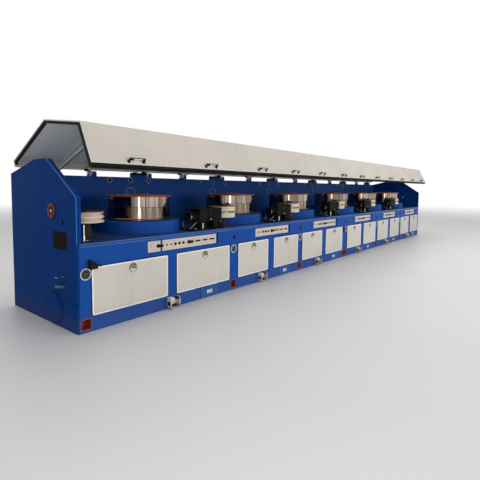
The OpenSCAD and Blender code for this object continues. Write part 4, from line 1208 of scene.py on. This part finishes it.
class MACHINE_OT_drums(MachineStep, bpy.types.Operator):
    """Finishes the drums and their flanges, with bolts on housing and cap"""
    bl_idname = "machine.drums"
    bl_label = "Drums"

    def execute(self, context):
        trim = context.scene.machine_trim
        ring = Forge()
        ring_r, ring_h, cap_r, cap_in = 0.425, 0.133, 0.088, 0.004
        for n in BLOCKS:
            paint_nodes(drum_steel(), "drum_%d" % n)
            paint_nodes(oxide_red(), "drum_flange_%d" % n)
            drum, flange = box_of("drum_%d" % n), box_of("drum_flange_%d" % n)
            centre = drum.at(0.5, 0.5, 0)
            top = Vector((centre.x, centre.y, flange.hi.z))
            housing = Vector((centre.x, centre.y, TABLE.hi.z + ring_h))
            for at in spread(UP, housing, ring_r, 16, math.tau / 32):
                ring.cap_screw(at, UP, trim.screw * 1.3)
            cap = Forge()
            for at in spread(UP, top - UP * cap_in, cap_r, 8):
                cap.cap_screw(at, UP, trim.screw)
            cap.turned(facing(UP, top),
                       [(0, -LET_IN), (0.034, -LET_IN), (0.034, 0.001), (0.031, 0.003), (0, 0.003)], 28)
            cap.piece("drum_cap_bolts_%d" % n, dark_steel(), "dark_steel", "drum_body_%d" % n)
        ring.piece("housing_screws", blue_enamel(), "blue_paint")
        return {"FINISHED"}


class MACHINE_OT_pulleys(MachineStep, bpy.types.Operator):
    """Finishes the guide pulleys, with axle nuts and hub screws"""
    bl_idname = "machine.pulleys"
    bl_label = "Guide pulleys"

    def execute(self, context):
        paint_nodes(dark_steel(), "pulley_stands")
        trim = context.scene.machine_trim
        nuts = Forge()
        axle_out, hub_r, foot_r = 0.0163, 0.062, 0.078
        for n in BLOCKS:
            pulley = box_of("guide_pulley_%d" % n)
            paint_nodes(pulley_cream(), "guide_pulley_%d" % n)
            centre = pulley.at(0.5, 0.5, 1)
            axle = facing(UP, centre + UP * axle_out)
            nuts.loft(axle, [at_height(ring_of(r, 6), z)
                             for r, z in ((0.020, -LET_IN), (0.020, 0.002), (0.018, 0.003))])
            nuts.turned(axle, [(0, 0.002), (0.009, 0.002), (0.009, 0.0045), (0.007, 0.006), (0, 0.006)], 20)
            hub = Forge()
            for at in spread(UP, centre, hub_r, 6):
                hub.cap_screw(at, UP, trim.screw * 1.1)
            hub.piece("pulley_hub_screws_%d" % n, dark_steel(), "dark_steel", "pulley_body_%d" % n)
            foot = Vector((centre.x, centre.y, TABLE.hi.z))
            for k, at in enumerate(spread(UP, foot, foot_r, 6, math.tau / 12)):
                nuts.bolt(at, UP, trim.bolt * 0.8, 11 * k)
        self.inlet_pin(trim)
        nuts.piece("pulley_nuts", dark_steel(), "dark_steel")
        return {"FINISHED"}

    def inlet_pin(self, trim):
        """The bright guide pin before the first pulley, with its collar and the bolts of its foot"""
        pin = Forge()
        foot = on_bed(0.129, 0.112, TABLE.hi.z + 0.008)
        place = facing(UP, foot)
        pin.turned(place, [(0, 0.0), (0.0125, 0.0), (0.0125, 0.046), (0.0115, 0.0485), (0.0083, 0.0485),
                           (0.0083, 0.146), (0.0073, 0.149), (0, 0.149)], 24)
        for side in (OUTLET, INLET):
            pin.bolt(foot + side * 0.036, UP, trim.bolt * 0.7, 10)
        pin.bolt(on_bed(0.277, 0.235, TABLE.hi.z), UP, trim.bolt, 20)
        pin.piece("inlet_guide_pin", plated_steel(), "bright_steel")


class MACHINE_OT_die_boxes(MachineStep, bpy.types.Operator):
    """Finishes the die boxes: clamp rings, lid grips and catches, rods, braces, hooks, clips and bolts"""
    bl_idname = "machine.die_boxes"
    bl_label = "Die boxes"

    def execute(self, context):
        paint_nodes(die_box_black(), "die_boxes", "die_box_stands")
        rings, bright, dark, grey = (Forge() for _ in range(4))
        for box in solids_of("die_boxes"):
            self.one(box, rings, bright, dark, grey)
        rings.piece("die_clamp_rings", brass(), "bright_steel")
        bright.piece("die_box_bright_parts", plated_steel(), "bright_steel")
        dark.piece("die_box_grips", dark_steel(), "dark_steel")
        grey.piece("die_box_braces", worn_steel(), "bright_steel")
        return {"FINISHED"}

    def one(self, box, rings, bright, dark, grey):
        """All that is fitted to one die box"""
        # The box's length without its holder and outlet, and the lid's overhang
        length, lip, outlet = 0.395, 0.004, 0.008
        right = box.hi.x - outlet
        left, front, low, top = right - length, box.lo.y + lip, box.lo.z, box.hi.z
        plate_top = TABLE.hi.z + 0.014
        middle_y, axis_z = front + 0.080, low + 0.064
        end = Vector((box.lo.x, middle_y, axis_z))
        rings.turned(facing(INLET, end), [(0.0322, -0.020), (0.0506, -0.020), (0.0506, -0.004), (0.046, 0.0),
                                          (0.036, 0.0), (0.0322, -0.003)], 36, closed=True)
        for share in (0.2, 0.8):
            for y in (front + 0.030, front + 0.130):
                dark.bolt(Vector((left + share * length, y, top)), UP, 0.018, 40 * share)
        for x in (left + 0.03, right - 0.03):
            for z in (low + 0.028, low + 0.108):
                dark.bolt(Vector((x, front, z)), FRONT, 0.014, 300 * z)
        grip = Vector(((left + right) / 2, front + 0.055, top))
        dark.bar([grip + Vector((x, 0, z)) for x, z in (
            (-0.055, -0.002), (-0.055, 0.016), (-0.045, 0.024),
            (0.045, 0.024), (0.055, 0.016), (0.055, -0.002))], 0.005)
        # Catch of the lid, with its bright stud
        catch = Vector((left + 0.185, front, low + 0.125))
        dark.plate(facing(FRONT, catch), 0.024, 0.046, 0.006, 0.004)
        bright.cap_screw(catch + Vector((0.004, -0.001, -0.100)), FRONT, 0.017)
        # Rod under the front edge, with its nut at the foot
        rod = Vector((left + 0.063, front + 0.010, plate_top))
        bright.turned(facing(UP, rod), [(0, 0), (0.012, 0), (0.012, 0.008), (0.0082, 0.010), (0.0082, 0.050),
                                        (0.0096, 0.052), (0.0096, 0.064), (0.0082, 0.066), (0, 0.066)], 20)
        # Foot bolts, the brace's facing and the bar with its spring clip at the inlet side
        bright.bolt(Vector((left - 0.028, front + 0.044, plate_top)), UP, 0.024, 10)
        grey.bolt(Vector((right - 0.015, front + 0.062, plate_top)), UP, 0.022, 5)
        grey.loft(facing(FRONT, Vector((left, front + 0.066, plate_top))),
                  [[(-0.110, 0.004, z), (-0.084, 0.002, z), (0.030, 0.082, z), (0.010, 0.086, z)]
                   for z in (0.0, 0.004)])
        bar = Vector((left - 0.150, middle_y, plate_top + 0.036))
        dark.bar([bar + OUTLET * x for x in (-0.045, 0.0, 0.075)], 0.006)
        dark.bar([bar + Vector((-0.025, 0, 0)), bar + Vector((-0.025, 0, -0.037))], 0.007)
        self.hook(grey, bar + Vector((-0.052, 0, 0.030)), 0.012, 0.024, range(110, -111, -22), 0.0034)
        # Spring clip under the box at its outlet end
        self.hook(grey, Vector((right - 0.014, front + 0.004, low - 0.012)), 0.016, 0.014,
                  range(50, 291, 24), 0.0042)

    def hook(self, forge, centre, across, high, degrees, radius):
        """A bar bent along part of an upright ellipse"""
        forge.bar([centre + Vector((across * math.cos(a), 0, high * math.sin(a)))
                   for a in map(math.radians, degrees)], radius, 8)


class MACHINE_OT_back_wall(MachineStep, bpy.types.Operator):
    """Finishes the ports and eyelets of the back wall and the bolts and pin rings of the hinge brackets"""
    bl_idname = "machine.back_wall"
    bl_label = "Back wall fittings"

    def execute(self, context):
        trim = context.scene.machine_trim
        paint_nodes(wall_fitting(), "wall_fittings")
        eyes, dark, bolts, rings, blinds = (Forge() for _ in range(5))
        # A port is wider than this, and so is a bracket whose pin wears a sleeve; then the sleeve's length
        port, wide, sleeve = 0.1, 0.2, 0.2425
        for fitting in solids_of("wall_fittings"):
            at = fitting.at(0.5, 1, 0.5)
            place = facing(FRONT, at)
            if fitting.hi.x - fitting.lo.x > port:
                for spot in spread(FRONT, at + FRONT * 0.002, 0.056, 6, math.tau / 12):
                    bolts.cap_screw(spot, FRONT, 0.008)
                blinds.turned(place, [(0, 0.001), (0.0618, 0.001), (0.0618, 0.0026), (0, 0.0026)], 40)
                dark.turned(place, [(0.042, 0.0024), (0.045, 0.0024), (0.045, 0.0036), (0.042, 0.0036)], 40,
                            closed=True)
                continue
            # A square frame on its corner
            outer, inner, thick = ring_of(0.043, 4), ring_of(0.033, 4), 0.0062
            eyes.band(place, [at_height(outer, -LET_IN), at_height(outer, thick), at_height(inner, thick),
                              at_height(inner, -LET_IN)])
            # Painted shade: a dark disc and ring stand in for the eyelet's hole
            dark.turned(place, [(0, 0.0018), (0.0128, 0.0018), (0.0128, 0.0036), (0, 0.0036)], 24)
            dark.turned(place, [(0.013, 0.004), (0.020, 0.004), (0.020, 0.0058), (0.013, 0.0058)], 28,
                        closed=True)
        for bracket in solids_of("hinge_brackets"):
            for across in (0.62, 0.9):
                for deep, side in ((0, FRONT), (1, REAR)):
                    bolts.bolt(bracket.at(across, deep, 0.28), side, trim.bolt * 0.8, 25 * across)
            at = Vector((bracket.lo.x, HINGE.y, HINGE.z))
            if bracket.hi.x - bracket.lo.x > wide:
                dark.turned(facing(OUTLET, at), [(0.0215, 0.0), (0.0246, 0.0), (0.0246, sleeve),
                                                 (0.0215, sleeve)], 28, closed=True)
            else:
                self.pin_ring(rings, dark, at)
        blinds.piece("port_blinds", wall_enamel(), "blue_paint")
        eyes.piece("eyelet_frames", label_grey(), "bright_steel")
        dark.piece("dark_rings_and_eyelet_hole_shades", seam_dark(), "black_paint")
        bolts.piece("bracket_bolts", blue_enamel(), "blue_paint")
        rings.piece("hinge_pin_rings", plated_steel(), "bright_steel")
        return {"FINISHED"}

    def pin_ring(self, rings, dark, at):
        """The pale ring round a hinge pin's end on the near cheek"""
        place = facing(INLET, at)
        rings.turned(place, [(0.012, -LET_IN), (0.0225, -LET_IN), (0.0225, 0.0035), (0.020, 0.005),
                             (0.012, 0.005)], 32, closed=True)
        dark.turned(place, [(0, -LET_IN), (0.012, -LET_IN), (0.012, 0.003), (0, 0.003)], 24)


# The hoods, drawn closed and turned open about their hinge

OPEN = math.radians(26.5)
# The closed hood's section as (depth behind the bed's front, height), from its front edge to its rear edge
HOOD_SECTION = [(-0.035, 0.842), (-0.035, 1.242), (0.540, 1.6226), (1.385, 1.6226), (1.385, 1.545)]


def opened():
    """The turn that opens a hood drawn closed."""
    axis = Matrix.Translation(HINGE)
    return axis @ Matrix.Rotation(-OPEN, 4, "X") @ axis.inverted()


def body_of(n):
    """The body that hood n turns with."""
    return "hood_body_%d" % n


def across_hood(section, x0, x1):
    """Two outlines of a closed hood's (depth, height) points, at two places along the line."""
    return [[(x, BED.lo.y + y, z) for y, z in section] for x in (x0, x1)]


def offset_section(inset):
    """The hood's section moved inwards by so much, square to each panel."""
    points = [Vector(p) for p in HOOD_SECTION]
    moved = []
    for k, point in enumerate(points):
        normals = []
        for a, b in ((k - 1, k), (k, k + 1)):
            if 0 <= a and b < len(points):
                along = (points[b] - points[a]).normalized()
                normals.append(Vector((along.y, -along.x)))
        both = sum(normals, Vector((0, 0)))
        if len(normals) == 2:
            both = both / both.dot(normals[0])
        moved.append(point + both * inset)
    return moved


class MACHINE_OT_hoods(MachineStep, bpy.types.Operator):
    """Finishes the hoods: lining and ribs, edges painted pale as highlights, arm channels with a strip of
    painted shade for their slot, ear rings, buffers and handles
    """
    bl_idname = "machine.hoods"
    bl_label = "Hoods"

    def execute(self, context):
        trim = context.scene.machine_trim
        for n in BLOCKS:
            paint_nodes(hood_enamel(), "hood_%d" % n)
            paint_nodes(seal_rubber(), "hood_trim_%d" % n)
            hood = box_of("hood_%d" % n)
            self.lining(n, hood, trim)
            self.edges(n, hood, trim)
            self.arms(n, hood)
            self.fittings(n, hood)
        return {"FINISHED"}

    def sheet(self, forge, x0, x1, from_in, to_in, first=0, last=4):
        """A sheet along part of the section, between two depths below the hood's outside"""
        outer, inner = (offset_section(inset)[first:last + 1] for inset in (from_in, to_in))
        forge.loft(opened(), across_hood(outer + inner[::-1], x0, x1))

    def lining(self, n, hood, trim):
        """The grey lining and its ribs"""
        forge = Forge()
        edge = 0.026
        x0, x1 = hood.lo.x + edge, hood.hi.x - edge
        self.sheet(forge, x0, x1, 0.0045, trim.lining_in - 0.004, 0, 3)
        count = max(2, round((x1 - x0) / trim.rib_pitch))
        for k in range(1, count):
            x = x0 + (x1 - x0) * k / count
            self.sheet(forge, x - 0.012, x + 0.012, trim.lining_in - 0.005, trim.lining_in + 0.008, 1, 3)
        forge.piece("hood_lining_%d" % n, lining_grey(), "hood_paint", body_of(n))

    def edges(self, n, hood, trim):
        """The hood's rolled edge round its two ends and along its lower front edge, painted pale as a
        highlight
        """
        forge = Forge()
        out = trim.hood_edge_out
        for x0, x1 in ((hood.lo.x - out, hood.lo.x + LET_IN), (hood.hi.x - LET_IN, hood.hi.x + out)):
            self.sheet(forge, x0, x1, 0.0003, trim.hood_edge)
        y, z = HOOD_SECTION[0]
        hem = [(y + 0.0004, z - 0.003), (y + 0.0085, z - 0.003), (y + 0.0085, z + 0.001),
               (y + 0.0004, z + 0.001)]
        forge.loft(opened(), across_hood(hem, hood.lo.x, hood.hi.x))
        forge.piece("hood_edge_%d" % n, door_edge(), "hood_paint", body_of(n))

    def arms(self, n, hood):
        """Grey channels over the hood's two arms, with a strip of painted shade for the slot along their
        underside
        """
        forge, slot = Forge(), Forge()
        from_end, half_arm, half_slot = 0.475, 0.0165, 0.008
        section = [(0.250, 1.4165), (1.335, 1.5155), (1.3815, 1.5155), (1.3815, 1.540), (0.305, 1.450)]
        # A thin strip of painted shade along the channel's underside
        shade_strip = [(0.262, 1.4166), (1.335, 1.5145), (1.335, 1.5165), (0.262, 1.4186)]
        for x in (hood.lo.x + from_end, hood.hi.x - from_end):
            forge.loft(opened(), across_hood(section, x - half_arm, x + half_arm))
            slot.loft(opened(), across_hood(shade_strip, x - half_slot, x + half_slot))
        forge.piece("hood_arm_channels_%d" % n, lining_grey(), "hood_paint", body_of(n))
        slot.piece("hood_arm_slots_%d" % n, slot_grey(), "dark_steel", body_of(n))

    def fittings(self, n, hood):
        """Rings and bolts on the hinge ears, the buffers, and the sleeves and ends of the handles"""
        screws, buffers, sleeves, rings, knuckles = (Forge() for _ in range(5))
        turn = opened()
        ears = [b for b in solids_of("hinge_brackets") if hood.lo.x < b.at(0.5, 0, 0).x < hood.hi.x]
        # The hood's ear stands so far along each of its two brackets
        for bracket, near in zip(ears, (0.014, 0.244)):
            ear = bracket.lo.x + near + 0.001
            plate = ear - 0.0275
            rings.turned(turn @ facing(INLET, Vector((ear, HINGE.y, HINGE.z))),
                         [(0.0254, -LET_IN), (0.0318, -LET_IN), (0.0318, 0.0018), (0.0300, 0.0030),
                          (0.0254, 0.0030)], 36, closed=True)
            for above in (0.040, 0.062):
                spot = turn @ Vector((plate, HINGE.y - 0.006, HINGE.z + above))
                screws.bolt(spot, turn.to_3x3() @ FRONT, 0.014, 20)
            place = turn @ facing(FRONT, Vector((plate - 0.004, HINGE.y - 0.006, HINGE.z + 0.030)))
            buffers.loft(place, [at_height(rounded(w, h, 0.006), z) for w, h, z in (
                (0.046, 0.026, 0.0), (0.046, 0.026, 0.012), (0.038, 0.018, 0.020))])
        # The handle's bar stands 38 mm out of its feet and leans up; the seal frame is longer than a handle
        lean, reach, longest = math.atan(12 / 38), 0.0374, 0.4
        y, z = HOOD_SECTION[0]
        grip = BED.lo.y + y - reach * math.cos(lean), z + 0.026 + reach * math.sin(lean)
        for handle in solids_of("hood_trim_%d" % n):
            if handle.hi.x - handle.lo.x < longest:
                middle = handle.at(0.5, 0, 0).x
                sleeves.bar([turn @ Vector((middle + sx * 0.050, *grip)) for sx in (-1, 1)], 0.0095, 16)
                for sx in (-1, 1):
                    knuckles.bar([turn @ Vector((middle + sx * along, grip[0] + 0.0056, grip[1] - 0.0014))
                                  for along in (0.049, 0.053, 0.077, 0.082)], 0.0135, 16)
        screws.piece("hood_screws_%d" % n, worn_steel(), "bright_steel", body_of(n))
        rings.piece("hood_ear_rings_%d" % n, plated_steel(), "bright_steel", body_of(n))
        buffers.piece("hood_buffers_%d" % n, seal_rubber(), "seal_rubber", body_of(n))
        sleeves.piece("handle_sleeves_%d" % n, label_white(), "bright_steel", body_of(n))
        knuckles.piece("handle_ends_%d" % n, black_plastic(), "black_plastic", body_of(n))


class MACHINE_OT_end_panels(MachineStep, bpy.types.Operator):
    """Finishes the end panels: service panel, wire eyes, cover bolts, bare plates and a painted highlight
    along the fold's corner
    """
    bl_idname = "machine.end_panels"
    bl_label = "End panels"

    def execute(self, context):
        paint_nodes(end_fitting(), "end_fittings")
        trim = context.scene.machine_trim
        dark, bolts, eyes, bushes, pale, corner = (Forge() for _ in range(6))
        panel = on_bed(0.014, 0.305, 0.8175)
        dark.loft(facing(INLET, panel), [at_height(rounded(w, h, 0.006), z) for w, h, z in (
            (0.268, 0.163, -LET_IN), (0.268, 0.163, 0.010), (0.264, 0.159, 0.012))])
        for cover in solids_of("end_covers"):
            radius = (cover.hi.z - cover.lo.z) / 2
            centre = cover.at(0, 0.5, 0.5)
            # The large cover has more bolts than the small one, nearer to its rim
            count, share, size = (8, 0.90, 0.6) if radius > 0.1 else (6, 0.82, 0.55)
            for k, (y, z) in enumerate(ring_of(radius * share, count, math.pi / count)):
                bolts.bolt(centre + Vector((0.0068, y, z)), INLET, trim.bolt * size, 15 * k)
        eye = on_bed(0, 0.440, 1.090)
        outlet_eye = Vector((LINE.hi.x - 0.003, eye.y, eye.z))
        for at, out in ((eye + INLET * 0.012, INLET), (outlet_eye, OUTLET)):
            place = facing(out, at)
            eyes.turned(place, [(0.016, -0.026), (0.0298, -0.026), (0.0298, -0.002), (0.027, 0.002),
                                (0.016, 0.002)], 36, closed=True)
            bushes.turned(place, [(0.0075, -0.020), (0.0165, -0.020), (0.0165, 0.001), (0.014, 0.0028),
                                  (0.010, 0.0028), (0.0075, 0.0)], 28, closed=True)
        for y, z, width, height in ((0.394, 0.458, 0.062, 0.008), (0.271, 0.484, 0.011, 0.011)):
            pale.plate(facing(INLET, on_bed(0, y, z)), width, height, 0.0016, 0.003, 0.0005)
        # The fold's outer corner goes up to front_h and slopes from there to slope_y behind the front
        front_h, slope_y, inside = 1.225, 0.540, 0.0008
        slope_h = slope_y * math.tan(math.radians(33.5))
        # Painted highlight along the fold's outer corner, upright and sloping
        corner.bar([on_bed(inside, inside, z) for z in (TABLE.hi.z, front_h - 0.001)], 0.0032)
        corner.bar([on_bed(inside, y, z) for y, z in ((inside, front_h - 0.002),
                                                      (slope_y, front_h + slope_h - 0.002))], 0.0046)
        corner.piece("end_fold_highlight", rubbed_corner(), "blue_paint")
        dark.piece("service_panel", panel_brown(), "black_plastic")
        bolts.piece("end_cover_bolts", end_enamel(), "blue_paint")
        eyes.piece("wire_eye_linings", seal_rubber(), "black_plastic")
        bushes.piece("wire_eye_bushes", ceramic(), "cream_paint")
        pale.piece("bare_end_plates", label_grey(), "dark_steel")
        return {"FINISHED"}


# Stage

class MACHINE_OT_stage(MachineStep, bpy.types.Operator):
    """Sets up the pale floor, the soft lights, the white surroundings and the camera"""
    bl_idname = "machine.stage"
    bl_label = "Stage"

    def execute(self, context):
        studio = context.scene.machine_studio
        self.floor()
        self.world(context.scene, studio)
        self.camera(context.scene, studio)
        self.light("key_light", studio.key, (11, 4), Vector((1.0, -9.5, 2.6)), Vector((0.5, 0, 1.0)), False)
        self.light("top_light", studio.fill, (12, 5), Vector((0, 1.0, 7.0)), Vector((0, 0, 0)), False)
        eye = Vector(studio.eye)
        self.light("window_light", studio.strip, (0.45, 2.4), eye + Vector((-0.3, -0.5, 0.1)),
                   Vector((-4.0, -0.1, 1.1)), True)
        context.scene.view_settings.view_transform = "Standard"
        return {"FINISHED"}

    def floor(self):
        """A pale floor that glows white far from the machine"""
        mesh = bpy.data.meshes.new("floor")
        reach = 60
        mesh.from_pydata([(-reach, -reach, 0), (reach, -reach, 0), (reach, reach, 0), (-reach, reach, 0)], [],
                         [(0, 1, 2, 3)])
        made = bpy.data.objects.new("floor", mesh)
        bpy.context.scene.collection.objects.link(made)
        shade = Shade("floor")
        cloud = shade.noise(0.5, 4)
        base = shade.mix(cloud, (0.74, 0.74, 0.73), (0.80, 0.80, 0.79))
        x, y = shade.xyz()[:2]
        away = shade.between((x * x + y * y) ** 0.5, 9, 30)
        lit = shade.node("ShaderNodeBsdfPrincipled", None, {"Base Color": base, "Roughness": 0.45})
        glow = shade.node("ShaderNodeEmission", None, {"Color": WHITE, "Strength": 1.0})
        both = shade.node("ShaderNodeMixShader", None, {0: away, 1: shade.out(lit), 2: shade.out(glow)})
        shade.node("ShaderNodeOutputMaterial", None, {"Surface": shade.out(both)})
        mesh.materials.append(shade.material)

    def world(self, scene, studio):
        """White to the camera and in reflections, a plain soft light to everything else"""
        scene.world = bpy.data.worlds.new("studio")
        shade = Shade("studio", scene.world)
        path = shade.node("ShaderNodeLightPath")
        seen = shade.math("MAXIMUM", shade.out(path, "Is Camera Ray"), shade.out(path, "Is Glossy Ray"))
        seen = shade.math("MAXIMUM", seen, shade.out(path, "Is Transmission Ray"))
        strength = shade.node("ShaderNodeMapRange", None,
                              {"Value": seen, "To Min": studio.sky, "To Max": 1.0})
        light = shade.node("ShaderNodeBackground", None, {"Color": WHITE, "Strength": shade.out(strength)})
        shade.node("ShaderNodeOutputWorld", None, {"Surface": shade.out(light)})

    def light(self, name, watts, size, at, towards, in_reflections):
        """An area light; the large soft ones stay out of reflections, which show the white surroundings"""
        lamp = bpy.data.lights.new(name, "AREA")
        lamp.shape = "RECTANGLE"
        lamp.size, lamp.size_y = size
        lamp.energy = watts
        made = bpy.data.objects.new(name, lamp)
        made.matrix_world = facing(at - towards, at)
        made.visible_camera = False
        made.visible_glossy = in_reflections
        bpy.context.scene.collection.objects.link(made)

    def camera(self, scene, studio):
        """The camera that was solved from the straight edges"""
        lens = bpy.data.cameras.new("camera")
        lens.lens, lens.sensor_width, lens.shift_y = studio.lens, 36, studio.shift
        lens.clip_end = 200
        made = bpy.data.objects.new("camera", lens)
        made.matrix_world = (Matrix.Translation(studio.eye) @ Matrix.Rotation(-studio.yaw, 4, "Z")
                             @ Matrix.Rotation(math.pi / 2 - studio.pitch, 4, "X")
                             @ Matrix.Rotation(studio.roll, 4, "Z"))
        scene.collection.objects.link(made)
        scene.camera = made


STEPS = (
    MACHINE_OT_bed, MACHINE_OT_doors, MACHINE_OT_controls, MACHINE_OT_post_dials, MACHINE_OT_floor_fittings,
    MACHINE_OT_drums, MACHINE_OT_pulleys, MACHINE_OT_die_boxes, MACHINE_OT_back_wall, MACHINE_OT_hoods,
    MACHINE_OT_end_panels, MACHINE_OT_stage,
)


class MACHINE_PT_panel(bpy.types.Panel):
    """Lists the steps and what they can be told"""
    bl_label = "Wire drawing machine"
    bl_idname = "MACHINE_PT_panel"
    bl_space_type = "VIEW_3D"
    bl_region_type = "UI"
    bl_category = "Machine"

    def draw(self, context):
        scene = context.scene
        for step in STEPS:
            self.layout.operator(step.bl_idname)
        for settings in (scene.machine_looks, scene.machine_trim, scene.machine_studio):
            column = self.layout.column()
            for name in settings.bl_rna.properties.keys():
                if name not in ("rna_type", "name"):
                    column.prop(settings, name)


SETTINGS = {"machine_looks": MachineLooks, "machine_trim": MachineTrim, "machine_studio": MachineStudio}


def register():
    for kind in (*SETTINGS.values(), *STEPS, MACHINE_PT_panel):
        bpy.utils.register_class(kind)
    for name, kind in SETTINGS.items():
        setattr(bpy.types.Scene, name, PointerProperty(type=kind))


def unregister():
    for name in SETTINGS:
        delattr(bpy.types.Scene, name)
    for kind in reversed((*SETTINGS.values(), *STEPS, MACHINE_PT_panel)):
        bpy.utils.unregister_class(kind)


def main():
    register()
    for step in STEPS:
        name = step.bl_idname.split(".")[1]
        getattr(bpy.ops.machine, name)()


if __name__ == "__main__":
    main()
